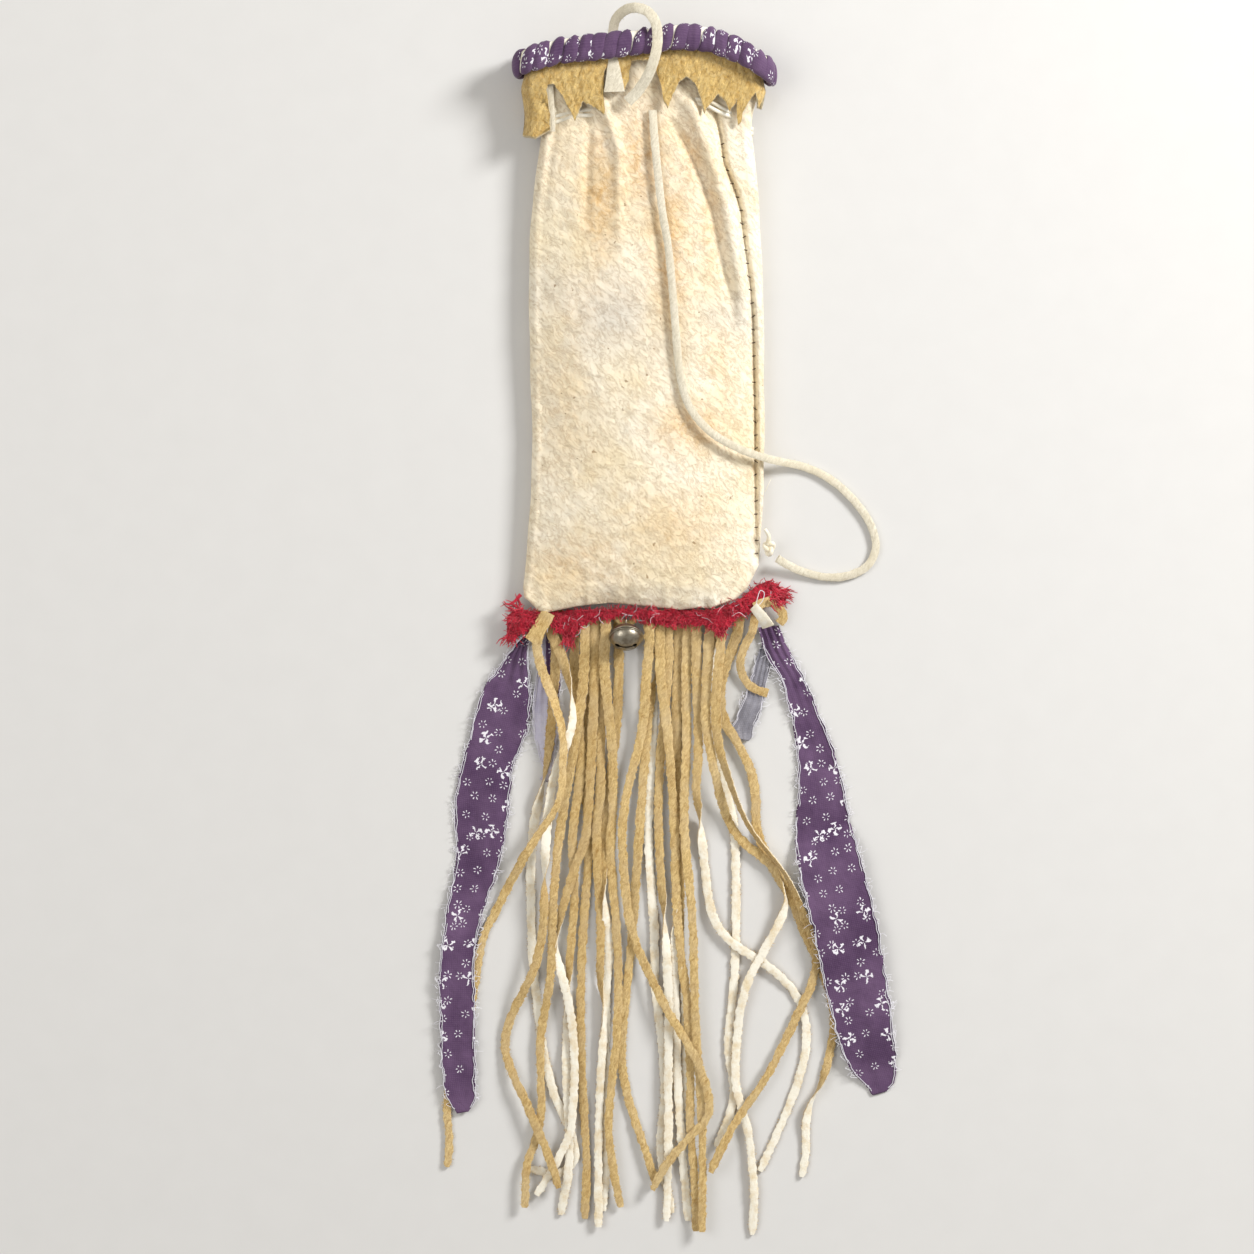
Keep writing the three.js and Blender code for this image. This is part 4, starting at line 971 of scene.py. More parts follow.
STATIONS, LEVELS = 560, 20
verts, cloth = [], []
rng = random.Random(21)
gone = 0.0
u_list = np.concatenate([np.linspace(0, 1, 110, False), np.linspace(1, 2, 40, False),
                         np.linspace(2, 3, 370, False), np.linspace(3, 4, 40, False)])
for k, u in enumerate(u_list):
    middle_x = float(oval(collar_side[None, :], np.array([u]))[0][0])
    high = float(along(rim_arch, middle_x)) - 3 * MM
    low = min(collar_edge(u, middle_x), high - 2 * MM) + rng.uniform(-0.35, 0.35) * MM
    for level in range(LEVELS + 1):
        t = level / LEVELS
        height = high + (low - high) * t
        clear = 0.9 * MM + 1.9 * MM * min(1, (high - height) / (9 * MM))
        px, pz = round_the_neck(u, height, clear)
        hang = max(0.0, (high - height) / (30 * MM))
        wave = noise.noise(Vector((middle_x * 90, height * 60, 2.0 if u < 2 else 7.0)))
        curl = (0.5 + 1.1 * wave) * 1.4 * MM * hang
        curl += 0.45 * MM * noise.noise(Vector((middle_x * 480 + height * 90, height * 120, 3.0)))
        flare = 4.5 * MM * hang if u > 3 or u < 0.1 else 1.5 * MM * hang * (1 < u < 2)
        px += flare if 1 < u < 2 else -flare
        pz += curl if 1.4 < u < 3.6 else 0
        verts.append((px, height, max(pz, 0.7 * MM)))
        cloth.append((gone, height))
    gone += 0.6 * MM
n = LEVELS + 1
faces = net_of(STATIONS, n, closed=False, ends_meet=True)


def collar_finish():
    """Golden suede with a coarse nap combed down the teeth; cut edges are paler."""
    made, tree, shader = new_finish("golden_suede", 0.95, sheen=0.25, specular=0.1)
    cloth = cloth_place(tree)
    place = object_place(tree)
    combed = cloudy(tree, stretched(tree, place, (1, 0.34, 1), 0.3), 640, 5, 0.75, 0.9)
    tufts = cloudy(tree, place, 420, 4, 0.7, 0.4)
    tint = mixed(tree, spread(tree, combed, 0.34, 0.66), (0.5, 0.28, 0.06), (0.95, 0.69, 0.27))
    tint = mixed(tree, spread(tree, tufts, 0.45, 0.75, 0, 0.6), tint, (0.82, 0.64, 0.32))
    tint = mixed(tree, spread(tree, painted(tree, "cut_edge"), 0.4, 1.0, 0, 0.8), tint, (0.85, 0.75, 0.52))
    tree.links.new(tint, shader.inputs["Base Color"])
    bumpy = relief(tree, combed, 1.5 * MM)
    bumpy = relief(tree, tufts, 1.4 * MM, bumpy)
    tree.links.new(bumpy, shader.inputs["Normal"])
    return made


golden_suede = collar_finish()
cut_edge = [1.0 if (k % n) == LEVELS else 0.0 for k in range(len(verts))]
collar = new_piece("toothed_collar", verts, faces, golden_suede, cloth, {"cut_edge": cut_edge})
collar_wall = collar.modifiers.new("thickness", "SOLIDIFY")
collar_wall.thickness = COLLAR
collar_wall.offset = 1
apply_all(collar)
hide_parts("suede_collar")

# ---- neck thong ----
# A pale thong that shows in the gap between the first two teeth, with a tie across it.
neck_thong_line = [(-0.0597, y) for y in np.linspace(0.2725, 0.2465, 26)]
high = evened(height_over(pouch_surface, neck_thong_line, 0.1), 3) + 0.9 * MM
neck_thong_line = np.column_stack([neck_thong_line, high])
cut_strip("neck_thong", neck_thong_line, np.linspace(6.4, 8.6, 26) * MM, 1.3 * MM, lace_hide,
          0.12, 0.15 * MM, 8, 8, 71, 4)
tie_line = smooth_line([(-0.0648, 0.2568, high[16] - 0.4 * MM), (-0.0597, 0.2562, high[16] + 0.9 * MM),
                        (-0.0552, 0.257, high[16] - 0.2 * MM)], 0.6 * MM)
cut_strip("neck_thong_tie", tie_line, 2.0 * MM, 0.8 * MM, lace_hide, 0.0, 0.1 * MM, 6, 0, 72, 4)

# ---- hanging loop ----
# One thong of white hide tucked in under the rim, carried up over it and down to a square end.
loop_route = [
    (-0.026, 0.2655, 0.0218), (-0.0262, 0.272, 0.0218), (-0.0264, 0.277, 0.0209), (-0.0266, 0.281, 0.0196),
    (-0.0267, 0.284, 0.01935), (-0.0267, 0.296, 0.01935), (-0.0256, 0.301, 0.0212), (-0.022, 0.305, 0.0242),
    (-0.0165, 0.3066, 0.0272), (-0.010, 0.3048, 0.0288), (-0.0058, 0.2995, 0.029), (-0.0046, 0.293, 0.0282),
    (-0.005, 0.2865, 0.0278), (-0.0066, 0.280, 0.027), (-0.0095, 0.273, 0.025), (-0.014, 0.2662, 0.0229),
    (-0.0195, 0.2605, 0.0218),
]
loop_line = smooth_line(loop_route, 1.0 * MM)
loop_width = np.interp(np.arange(len(loop_line)), [0, 17, 24, len(loop_line)], [10.4, 4.6, 4.8, 5.4]) * MM
hanging_loop = cut_strip("hanging_loop", loop_line, loop_width, 1.5 * MM, lace_hide,
                         0.1 * wander(len(loop_line), 0.05, 9), 0.08 * MM, 8, 30, 9, 4)
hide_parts("hanging_loop_thong")

# ---- side knot ----
# The far end of the lace is pushed through the side seam and knotted on itself.
knot_line = []
for t in np.linspace(0, 2 * math.pi, 90, False):
    x = (math.sin(t) + 2 * math.sin(2 * t)) / 3
    y = (math.cos(t) - 2 * math.cos(2 * t)) / 3
    height = 7.2 * MM - 1.3 * MM * math.sin(3 * t)
    knot_line.append((51.4 * MM + 2.3 * MM * x, 38.8 * MM + 3.1 * MM * y, height))
knot_line.append(knot_line[0])
verts, faces = [], []
tube(verts, faces, knot_line, 2.5 * MM, 12)
tail = smooth_line([(0.0505, 0.0405, 0.0085), (0.0512, 0.0445, 0.0098), (0.0492, 0.0482, 0.0108)], 0.5 * MM)
tube(verts, faces, tail, np.linspace(2.3 * MM, 1.7 * MM, len(tail)), 10)
paint = {"smooth_side": np.ones(len(verts))}
side_knot = new_piece("side_knot", verts, faces, lace_hide, [(v[0], v[1]) for v in verts], paint)
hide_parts("side_seam_knot")
stray = smooth_line([(0.0492, 0.0668, 0.011), (0.0505, 0.0695, 0.0118), (0.0522, 0.073, 0.0115)], 0.5 * MM)
verts, faces = [], []
tube(verts, faces, stray, 0.3 * MM, 5)
new_piece("stray_thread", verts, faces, lace_hide, [(v[0], v[1]) for v in verts],
          {"smooth_side": np.ones(len(verts))})

# ---- calico ribbons ----
# Four strips torn from the same calico, tied in at the bottom corners: two print side up over
# the fringe and two under it, back side up. Their torn edges have shed long white threads.
reverse_lavender = calico_finish("calico_back_lavender", (0.46, 0.43, 0.56), (0.68, 0.66, 0.76),
                                 (0.78, 0.76, 0.84), 0.12, (0.12, 0.065, 0.14))
reverse_grey = calico_finish("calico_back_grey", (0.13, 0.125, 0.15), (0.36, 0.35, 0.39),
                             (0.42, 0.41, 0.44), 0.12)
white_thread, tree, shader = new_finish("white_thread", 0.9, sheen=0.3)
tint = mixed(tree, cloudy(tree, object_place(tree), 600), (0.62, 0.6, 0.66), (0.88, 0.87, 0.9))
tree.links.new(tint, shader.inputs["Base Color"])
ribbon_cuts = {
    "ribbon_left_back": [
        (-0.063, -0.003, -0.055, -0.002), (-0.063, -0.012, -0.053, -0.013),
        (-0.065, -0.025, -0.053, -0.027), (-0.067, -0.037, -0.054, -0.04),
        (-0.067, -0.051, -0.054, -0.052), (-0.065, -0.062, -0.056, -0.063),
        (-0.062, -0.074, -0.058, -0.074), (-0.064, -0.077, -0.059, -0.079),
    ],
    "ribbon_right_back": [
        (0.049, -0.007, 0.055, -0.011), (0.045, -0.017, 0.052, -0.021), (0.042, -0.029, 0.05, -0.032),
        (0.038, -0.038, 0.048, -0.042), (0.035, -0.046, 0.045, -0.049), (0.032, -0.053, 0.043, -0.056),
        (0.036, -0.057, 0.041, -0.058),
    ],
    "ribbon_left_front": [
        (-0.067, -0.002, -0.063, -0.001), (-0.076, -0.01, -0.069, -0.01),
        (-0.085, -0.022, -0.069, -0.023), (-0.092, -0.032, -0.068, -0.036),
        (-0.096, -0.044, -0.069, -0.048), (-0.099, -0.056, -0.072, -0.06),
        (-0.102, -0.068, -0.077, -0.071), (-0.105, -0.08, -0.078, -0.082),
        (-0.106, -0.094, -0.079, -0.094), (-0.106, -0.121, -0.084, -0.121),
        (-0.11, -0.142, -0.092, -0.144), (-0.114, -0.17, -0.096, -0.168),
        (-0.114, -0.193, -0.096, -0.192), (-0.112, -0.228, -0.096, -0.228),
        (-0.109, -0.239, -0.096, -0.239), (-0.105, -0.245, -0.099, -0.244),
    ],
    "ribbon_right_front": [
        (0.046, -0.001, 0.056, 0), (0.05, -0.014, 0.062, -0.013), (0.057, -0.026, 0.07, -0.028),
        (0.062, -0.043, 0.076, -0.043), (0.066, -0.069, 0.086, -0.069), (0.065, -0.103, 0.093, -0.1),
        (0.065, -0.116, 0.098, -0.118), (0.072, -0.146, 0.105, -0.147), (0.078, -0.175, 0.11, -0.175),
        (0.086, -0.207, 0.114, -0.206), (0.09, -0.219, 0.115, -0.217), (0.098, -0.229, 0.115, -0.228),
        (0.104, -0.236, 0.111, -0.234),
    ],
}
RIBBON_STEP = 1.3 * MM
RIBBON_COLUMNS = 22


def calico_ribbon(name, finish, gather, seed):
    """One torn ribbon on its CAD solid, with its waves, ragged edges and shed threads."""
    rng = random.Random(seed)
    cuts = np.array(ribbon_cuts[name])
    middle = smooth_line((cuts[:, :2] + cuts[:, 2:]) / 2, RIBBON_STEP)
    share = np.linspace(0, 1, len(middle))
    sides = []
    for part in (cuts[:, :2], cuts[:, 2:]):
        fine = smooth_line(part, 0.6 * MM)
        at = np.linspace(0, 1, len(fine))
        sides.append(np.column_stack([np.interp(share, at, fine[:, k]) for k in (0, 1)]))
    left, right = sides
    surface = surface_of(name)
    top = evened(height_over(surface, middle), 5)
    count = len(middle)
    verts, cloth = [], []
    rag = [wander(count, 0.35, seed + side) * 0.8 * MM for side in (0, 9)]
    for k in range(count):
        wide = np.linalg.norm(right[k] - left[k])
        for j in range(RIBBON_COLUMNS + 1):
            c = j / RIBBON_COLUMNS
            spot = left[k] + (right[k] - left[k]) * c
            fray = rag[0][k] * (1 - c) ** 6 - rag[1][k] * c**6 + rng.uniform(-0.15, 0.15) * MM
            spot = spot + (right[k] - left[k]) / max(wide, 1e-6) * fray
            wave = noise.noise(Vector((spot[0] * 55, spot[1] * 22, seed * 1.7)))
            fine = noise.noise(Vector((spot[0] * 190, spot[1] * 70, seed * 2.7)))
            fading = gather * math.exp(-k * RIBBON_STEP / 0.022)
            pinch = math.cos(c * math.pi * 7 + 0.6 * math.sin(k * 0.1)) * fading
            lift = 1.5 * MM * wave + 0.45 * MM * fine + pinch
            verts.append((spot[0], spot[1], max(0.35 * MM, top[k] + lift)))
            cloth.append(((c - 0.5) * wide, k * RIBBON_STEP))
    n = RIBBON_COLUMNS + 1
    faces = net_of(count, n, closed=False)
    grid = np.array(verts).reshape(count, n, 3)
    own_name = name.replace("ribbon", "calico")
    # Near the left corner the back ribbon is turned over, so its printed side shows.
    turned_over = [float(x > -0.0605 - 0.06 * min(0, y + 0.02) and y > -0.042) for x, y, _ in verts]
    ribbon = new_piece(own_name, verts, faces, finish, cloth, {"print_side": turned_over})
    wall = ribbon.modifiers.new("cloth", "SOLIDIFY")
    wall.thickness = 0.3 * MM
    wall.offset = -1
    apply_all(ribbon)
    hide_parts(name)

    verts, faces = [], []
    for edge in (0, RIBBON_COLUMNS):
        out = grid[:, edge] - grid[:, edge + (1 if edge == 0 else -1)]
        out /= np.linalg.norm(out, axis=1)[:, None]
        for strand in range(2):
            wob = evened(np.array([rng.uniform(-1, 1) for _ in range(count)]), 3) * 0.7 * MM
            drift = (0.75 * strand - 0.9) * MM + wob
            run = grid[:, edge] + out * drift[:, None] + [0, 0, 0.3 * MM]
            start = rng.randrange(4, 14)
            while start < count - 12:
                stop = min(count - 2, start + rng.randrange(14, 40))
                tube(verts, faces, run[start:stop], 0.34 * MM, 4)
                start = stop + rng.randrange(1, 5)
        for _ in range(int(count * 0.62)):
            k = rng.randrange(3, count - 2)
            root = grid[k, edge]
            if rng.random() < 0.35:
                crest = root + out[k] * rng.uniform(0.8, 2) * MM
                crest = crest + [0, rng.uniform(-1, 1) * MM, 0.4 * MM]
                loops = [root, crest, grid[min(count - 1, k + 2), edge] + out[k] * 0.3 * MM]
            else:
                reach = rng.uniform(0.8, 3.2) * MM
                bend = np.array([rng.uniform(-1, 1), rng.uniform(-1, 1), rng.uniform(-0.2, 0.5)])
                bend = bend * reach * 0.6
                loops = [root - out[k] * 0.6 * MM, root + out[k] * reach * 0.55 + bend * 0.2,
                         root + out[k] * reach + bend]
            loops = np.array(loops)
            loops[:, 2] = np.maximum(loops[:, 2], 0.2 * MM)
            tube(verts, faces, smooth_line(loops, 0.45 * MM), 0.24 * MM, 3)
    threads = new_piece(own_name + "_threads", verts, faces, white_thread)
    length = line_length(middle)
    area = sum(p.area for p in ribbon.data.polygons) / 2
    widest = float(np.linalg.norm(right - left, axis=1).max())
    area = min(area, widest * length)


calico_ribbon("ribbon_left_back", reverse_lavender, 0.8 * MM, 31)
calico_ribbon("ribbon_right_back", reverse_grey, 0.6 * MM, 32)
calico_ribbon("ribbon_left_front", calico, 1.3 * MM, 33)
calico_ribbon("ribbon_right_front", calico, 0.7 * MM, 34)

# ---- short thong ----
# A spare end of yellow thong at the right corner, curled at its tip.
short_route = [(0.045, 0.008), (0.043, -0.003), (0.039, -0.011), (0.037, -0.02), (0.04, -0.028),
               (0.045, -0.032), (0.051, -0.034)]


def lie_on(name, route, width, roll=0.0, seed=1, fibres=40, thick=THONG):
    """A short strip of suede lying where its CAD solid lies."""
    flat_line = smooth_line(route, 0.9 * MM)
    high = evened(height_over(surface_of(name), flat_line), 3) - thick / 2
    line = np.column_stack([flat_line, high])
    made = cut_strip(name + "_hide", line, width, thick, suede_thong, roll, 0.25 * MM, 6,
                     fibres, seed)
    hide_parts(name)


lie_on("short_thong_right", short_route, 4.2 * MM, seed=51)

# ---- bell hanger ----
# A narrow thong that comes out of the seam, goes through the bell's loop and back up.
HANGER_WIDTH = 2.4 * MM
hanger_route = [(-0.0262, 0.0076), (-0.0254, 0.0046), (-0.0238, 0.00204), (-0.022, 0.00164),
                (-0.0184, 0.00164), (-0.0166, 0.00204), (-0.015, 0.0046), (-0.0142, 0.0076)]
lie_on("bell_hanger_thong", hanger_route, HANGER_WIDTH, seed=52, fibres=10)

# ---- red wool strip ----
# Torn red wool cloth caught in the bottom seam: felted, ragged, with loose fibres all over.
wool_cuts = [
    (-0.08, 0.004, -0.08, -0.009), (-0.076, 0.008, -0.076, -0.007), (-0.071, 0.008, -0.071, -0.003),
    (-0.065, 0.007, -0.065, 0), (-0.059, 0.007, -0.059, 0.001), (-0.053, 0.007, -0.053, -0.004),
    (-0.049, 0.0078, -0.049, -0.008), (-0.045, 0.008, -0.045, -0.003), (-0.038, 0.008, -0.038, 0.002),
    (-0.028, 0.0082, -0.028, 0.005), (-0.022, 0.0082, -0.022, 0.0052), (-0.013, 0.0082, -0.013, 0.005),
    (-0.003, 0.0078, -0.003, 0.001), (0.004, 0.0078, 0.004, 0), (0.017, 0.0078, 0.017, 0.001),
    (0.023, 0.0078, 0.023, -0.002), (0.028, 0.0095, 0.028, -0.003), (0.033, 0.011, 0.033, 0.002),
    (0.039, 0.015, 0.039, 0.006), (0.045, 0.02, 0.045, 0.009), (0.051, 0.022, 0.051, 0.011),
    (0.055, 0.021, 0.055, 0.013), (0.06, 0.016, 0.06, 0.011),
]


def wool_finish():
    made, tree, shader = new_finish("red_wool", 0.95, sheen=0.35, specular=0.1)
    place = object_place(tree)
    clumps = cloudy(tree, place, 260, 5, 0.7, 0.8)
    hairs = cloudy(tree, stretched(tree, place, (1, 2.4, 1), 0.6), 1400, 4, 0.75, 1.5)
    tint = mixed(tree, spread(tree, clumps, 0.36, 0.64), (0.46, 0.0, 0.018), (0.86, 0.008, 0.055))
    tint = mixed(tree, spread(tree, hairs, 0.5, 0.78, 0, 0.55), tint, (0.86, 0.09, 0.11))
    tree.links.new(tint, shader.inputs["Base Color"])
    bumpy = relief(tree, clumps, 1.4 * MM)
    bumpy = relief(tree, hairs, 0.7 * MM, bumpy)
    tree.links.new(bumpy, shader.inputs["Normal"])
    return made


red_wool = wool_finish()
WOOL_STEP = 0.75 * MM
WOOL_ROWS = 20
rng = random.Random(77)
cuts = np.array(wool_cuts)
far_edge, near_edge = smooth_line(cuts[:, :2], WOOL_STEP), smooth_line(cuts[:, 2:], WOOL_STEP)
columns = int(0.14 / WOOL_STEP)
share = np.linspace(0, 1, columns)
edges = []
for edge in (far_edge, near_edge):
    at = (edge[:, 0] - edge[0, 0]) / (edge[-1, 0] - edge[0, 0])
    edges.append(np.column_stack([np.interp(share, at, edge[:, k]) for k in (0, 1)]))
far_edge, near_edge = edges
wool_surface = surface_of("red_wool_strip")
wool_middle = (far_edge + near_edge) / 2
wool_top = evened(height_over(wool_surface, wool_middle), 2)
tatter = [noise.noise(Vector((k * 0.33, 5.5, 0))) * 1.6 + noise.noise(Vector((k * 1.1, 9.5, 0)))
          for k in range(columns)]
verts, faces = [], []
for k in range(columns):
    torn = near_edge[k] + [0.4 * MM * tatter[k], (0.9 * tatter[k] - 0.5) * MM * 1.5]
    for j in range(WOOL_ROWS + 1):
        c = j / WOOL_ROWS
        spot = far_edge[k] * (1 - c) + torn * c
        spot = spot + [rng.uniform(-0.2, 0.2) * MM, rng.uniform(-0.2, 0.2) * MM]
        lump = noise.noise(Vector((spot[0] * 240, spot[1] * 330, 1.5))) * 1.3
        lump += noise.noise(Vector((spot[0] * 620, spot[1] * 700, 6.5))) * 0.6
        roll = 1.0 * math.sin(c * math.pi) ** 0.5
        verts.append((*spot, max(1.05 * MM, wool_top[k] + (lump + roll - 0.9) * MM)))
n = WOOL_ROWS + 1
faces = net_of(columns, n, closed=False)
wool_grid = np.array(verts).reshape(columns, n, 3)
wool_strip = new_piece("red_wool_cloth", verts, faces, red_wool)
wall = wool_strip.modifiers.new("felt", "SOLIDIFY")
wall.thickness = 1.0 * MM
wall.offset = -1
apply_all(wool_strip)
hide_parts("red_wool_strip")

verts, faces = [], []
for _ in range(1500):
    k, j = rng.randrange(columns), rng.randrange(n)
    root = wool_grid[k, j]
    spin = rng.uniform(0, 2 * math.pi)
    reach = rng.uniform(1.2, 4.2) * MM
    way = np.array([math.cos(spin), math.sin(spin), rng.uniform(0.0, 0.35)])
    bend = np.array([-way[1], way[0], 0.1]) * rng.uniform(-0.7, 0.7)
    loops = np.array([root, root + (way + bend) * reach * 0.5 + [0, 0, 0.5 * MM], root + way * reach])
    loops[:, 2] = np.maximum(loops[:, 2], 0.25 * MM)
    tube(verts, faces, smooth_line(loops, 0.7 * MM), 0.42 * MM, 3)
# Frayed ends: tatters at the left, a curled spike, and a brush of points at the right.
frayed = [((-0.078, -0.004), (-0.35, -1.0), 26, 7), ((-0.075, 0.002), (-1.0, -0.5), 20, 6),
          ((-0.074, 0.009), (-0.9, 0.35), 16, 8), ((0.056, 0.017), (1.0, -0.25), 34, 8),
          ((0.054, 0.012), (0.9, -0.6), 18, 6), ((0.052, 0.02), (0.7, 0.5), 14, 5),
          ((-0.049, -0.006), (0.05, -1.0), 22, 6), ((0.027, -0.001), (0.1, -1.0), 22, 5),
          ((-0.012, 0.004), (0.1, -1.0), 14, 4), ((0.008, 0.002), (-0.2, -1.0), 14, 4)]
for (fx, fy), (wx, wy), amount, reach_mm in frayed:
    high = float(height_over(wool_surface, [(fx, fy), (0.0, 0.004)], 0.1)[0])
    for _ in range(amount):
        spin = rng.gauss(0, 0.45)
        way = np.array([wx * math.cos(spin) - wy * math.sin(spin),
                        wx * math.sin(spin) + wy * math.cos(spin), 0.0])
        root = np.array([fx + rng.uniform(-2.5, 2.5) * MM, fy + rng.uniform(-2, 2) * MM,
                         high + rng.uniform(-0.8, 0.6) * MM])
        reach = rng.uniform(0.4, 1) * reach_mm * MM
        side = np.array([-way[1], way[0], 0]) * rng.uniform(-0.3, 0.3)
        loops = np.array([root, root + (way + side) * reach * 0.55, root + way * reach])
        tuft = smooth_line(loops, 0.8 * MM)
        tube(verts, faces, tuft, np.linspace(0.95, 0.25, len(tuft)) * MM, 4)
spike = smooth_line([(-0.073, 0.0155, 0.0085), (-0.076, 0.0122, 0.009), (-0.0795, 0.0105, 0.0092),
                     (-0.0815, 0.0122, 0.0088)], 0.6 * MM)
tube(verts, faces, spike, np.linspace(2.2, 0.5, len(spike)) * MM, 7)
wool_fibres = new_piece("red_wool_fibres", verts, faces, red_wool)

verts, faces = [], []
for _ in range(26):
    k, j = rng.randrange(columns), rng.randrange(4, n)
    root = wool_grid[k, j] + [0, 0, 0.5 * MM]
    spin = rng.uniform(0, 2 * math.pi)
    way = np.array([math.cos(spin), math.sin(spin), 0.05])
    side = np.array([-way[1], way[0], 0]) * rng.uniform(-0.8, 0.8)
    reach = rng.uniform(3, 7) * MM
    loops = [root, root + (way + side) * reach * 0.5 + [0, 0, 0.5 * MM], root + way * reach]
    tube(verts, faces, smooth_line(loops, 0.6 * MM), 0.2 * MM, 3)
loop_thread = smooth_line([(0.0445, 0.008, 0.0125), (0.0455, 0.014, 0.0135), (0.047, 0.0175, 0.0135),
                           (0.0487, 0.0165, 0.0132), (0.048, 0.0125, 0.013), (0.0455, 0.0095, 0.0125)],
                          0.5 * MM)
tube(verts, faces, loop_thread, 0.4 * MM, 5)
pale_threads = new_piece("pale_threads", verts, faces, white_thread)

# ---- tie thongs ----
# Short wide thongs that tie the ribbons in at the two bottom corners.
left_tie_route = [(-0.059, 0.0065), (-0.062, 0.001), (-0.065, -0.004), (-0.068, -0.008)]
right_tie_route = [(0.044, 0.009), (0.049, 0.0115), (0.054, 0.011), (0.0575, 0.0075), (0.0585, 0.004),
                   (0.0565, 0.001)]
lie_on("tie_thong_left", left_tie_route, 7 * MM, seed=61, fibres=30)
lie_on("tie_thong_right", right_tie_route, 4.6 * MM, seed=62, fibres=30)
facet_line = smooth_line([(0.0435, 0.0095, 0.0118), (0.0462, 0.0062, 0.0128), (0.0488, 0.0028, 0.0124),
                          (0.0508, -0.0004, 0.0098)], 0.7 * MM)
facet_width = np.linspace(4.6, 6.2, len(facet_line)) * MM
cut_strip("tie_end_right", facet_line, facet_width, 1.5 * MM, lace_hide, math.pi + 0.35,
          0.1 * MM, 8, 10, 63, 4)

# ---- jingle bell ----
# A small pressed bell of dulled nickel: two half shells with a folded seam lip, a slot between
# two round holes in the lower half, a wire loop on top and a loose pellet inside.
BELL_RADIUS = 8 * MM
BELL_HALF_HEIGHT = 6.2 * MM
BELL_WALL = 0.8 * MM
SLOT_HALF = 4.2 * MM
SLOT_WIDTH = 1.1 * MM
SLOT_HOLE_RADIUS = 1.35 * MM
CUT_DEPTH = 6 * MM
WIRE = 1.0 * MM
PELLET_RADIUS = 2.1 * MM
LOOP_RADIUS = 2.2 * MM
bell_centre = Vector((-20.2 * MM, -5.8 * MM, 11 * MM))
bell_tilt = math.radians(36)
to_slot = Vector((0, -math.cos(bell_tilt), math.sin(bell_tilt)))
bell_turn = Vector((0, 0, 1)).rotation_difference(-to_slot).to_matrix().to_4x4()
bell_place = Matrix.Translation(bell_centre) @ bell_turn


def nickel_finish():
    made, tree, shader = new_finish("dulled_nickel", 0.36, metallic=1.0, specular=0.5)
    place = object_place(tree)
    tarnish = spread(tree, cloudy(tree, place, 260, 5, 0.65, 0.4), 0.38, 0.66)
    tint = mixed(tree, tarnish, (0.42, 0.38, 0.3), (0.2, 0.165, 0.12))
    scratches = cloudy(tree, stretched(tree, place, (1, 9, 1), 0.7), 900, 4, 0.7)
    tree.links.new(tint, shader.inputs["Base Color"])
    gloss = spread(tree, sums(tree, "ADD", tarnish, scratches), 0.4, 1.5, 0.26, 0.5)
    tree.links.new(gloss, shader.inputs["Roughness"])
    bumpy = relief(tree, cloudy(tree, place, 500, 3, 0.6), 0.12 * MM)
    tree.links.new(bumpy, shader.inputs["Normal"])
    return made


nickel = nickel_finish()


def keep_half(keep_upper):
    """Bisects what is being edited at the seam and keeps one half."""
    bpy.ops.mesh.select_all(action="SELECT")
    level = 0.15 * MM if keep_upper else -0.15 * MM
    bpy.ops.mesh.bisect(plane_co=(0, 0, level), plane_no=(0, 0, 1), clear_inner=keep_upper,
                        clear_outer=not keep_upper)


def finish_metal(made, name):
    made.name = name
    made.data.transform(made.matrix_world)
    made.matrix_world = Matrix.Identity(4)
    made.data.transform(bell_place)
    made.data.materials.clear()
    made.data.materials.append(nickel)
    smooth_under(made, 40)
    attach(made, "bell")


def half_shell(name, upper):
    bpy.ops.object.select_all(action="DESELECT")
    bpy.ops.mesh.primitive_uv_sphere_add(segments=72, ring_count=36, radius=BELL_RADIUS)
    shell = bpy.context.object
    bpy.ops.object.mode_set(mode="EDIT")
    bpy.ops.mesh.select_all(action="SELECT")
    bpy.ops.transform.resize(value=(1, 1, BELL_HALF_HEIGHT / BELL_RADIUS))
    keep_half(upper)
    bpy.ops.object.mode_set(mode="OBJECT")
    wall = shell.modifiers.new("wall", "SOLIDIFY")
    wall.thickness = BELL_WALL
    wall.offset = -1
    apply_all(shell)
    return shell


def seam_lip(level):
    bpy.ops.object.select_all(action="DESELECT")
    bpy.ops.mesh.primitive_torus_add(location=(0, 0, 0), major_radius=BELL_RADIUS + 0.12 * MM,
                                     minor_radius=0.5 * MM, major_segments=72, minor_segments=12)
    lip = bpy.context.object
    lip.data.transform(Matrix.Translation((0, 0, level)) @ Matrix.Diagonal((1, 1, 0.75, 1)))
    return lip


def joined(main, *others):
    bpy.ops.object.select_all(action="DESELECT")
    for other in (*others, main):
        other.select_set(True)
    bpy.context.view_layer.objects.active = main
    bpy.ops.object.join()
    bpy.ops.object.select_all(action="DESELECT")
    return main


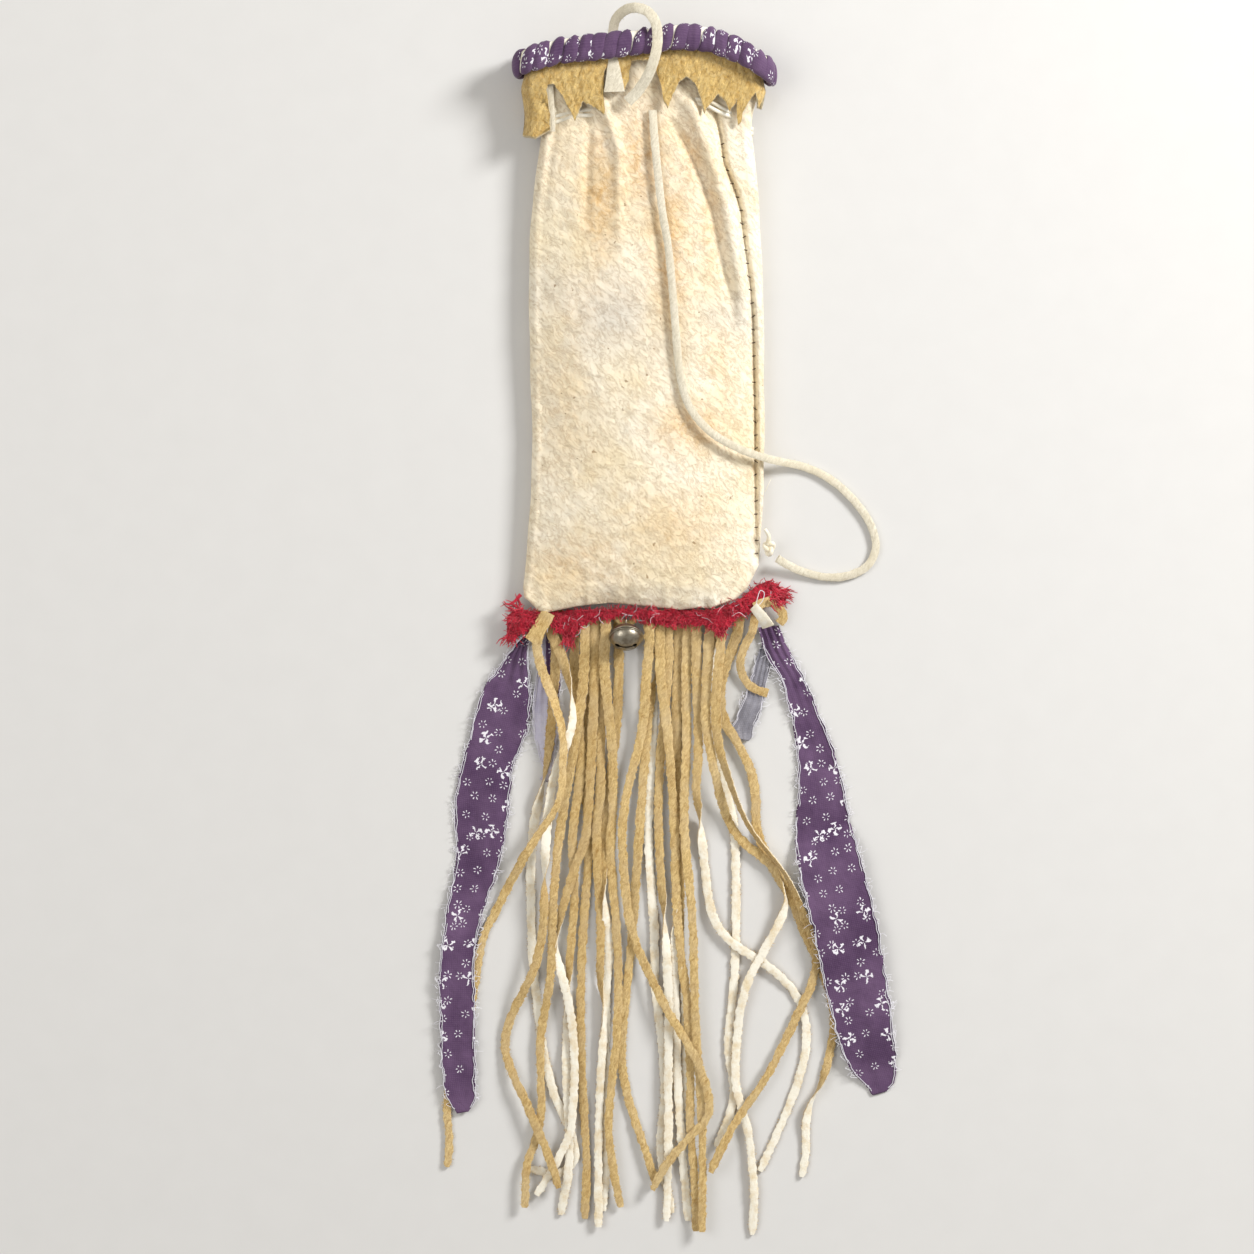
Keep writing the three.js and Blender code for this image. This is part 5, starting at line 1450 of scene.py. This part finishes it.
upper_shell = joined(half_shell("bell_upper", True), seam_lip(0.5 * MM))
lower_shell = half_shell("bell_lower", False)
cutters = []
bpy.ops.mesh.primitive_cube_add(size=1, location=(0, 0, -BELL_HALF_HEIGHT),
                                scale=(2 * SLOT_HALF, SLOT_WIDTH, CUT_DEPTH))
cutters.append(bpy.context.object)
for side in (-SLOT_HALF, SLOT_HALF):
    bpy.ops.mesh.primitive_cylinder_add(vertices=28, radius=SLOT_HOLE_RADIUS, depth=CUT_DEPTH,
                                        location=(side, 0, -5 * MM))
    cutters.append(bpy.context.object)
for cutter in cutters:
    cut = lower_shell.modifiers.new("slot", "BOOLEAN")
    cut.operation = "DIFFERENCE"
    cut.object = cutter
    bpy.ops.object.select_all(action="DESELECT")
    apply_all(lower_shell)
for cutter in cutters:
    bpy.data.objects.remove(cutter)
lower_shell = joined(lower_shell, seam_lip(-0.5 * MM))
finish_metal(upper_shell, "bell_upper")
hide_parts("bell_upper_shell")
finish_metal(lower_shell, "bell_lower")
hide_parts("bell_lower_shell")

bpy.ops.object.select_all(action="DESELECT")
bpy.ops.mesh.primitive_torus_add(major_radius=LOOP_RADIUS, minor_radius=WIRE / 2, major_segments=40,
                                 minor_segments=12)
wire_loop = bpy.context.object
bell_arm = BELL_HALF_HEIGHT + 0.3 * MM + LOOP_RADIUS + 0.5 * MM
wire_loop.data.transform(Matrix.Translation((0, 0, bell_arm)) @ Matrix.Rotation(math.pi / 2, 4, "Y"))
finish_metal(wire_loop, "bell_loop")
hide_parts("bell_wire_loop")

bpy.ops.object.select_all(action="DESELECT")
bpy.ops.mesh.primitive_uv_sphere_add(segments=28, ring_count=18, radius=PELLET_RADIUS,
                                     location=(0, 3.6 * MM, -0.6 * MM))
pellet = bpy.context.object
bpy.ops.object.mode_set(mode="EDIT")
bpy.ops.mesh.select_all(action="SELECT")
bpy.ops.transform.vertex_random(offset=0.12 * MM, seed=4)
bpy.ops.object.mode_set(mode="OBJECT")
finish_metal(pellet, "bell_pellet_ball")
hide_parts("bell_pellet")

bpy.ops.object.select_all(action="DESELECT")
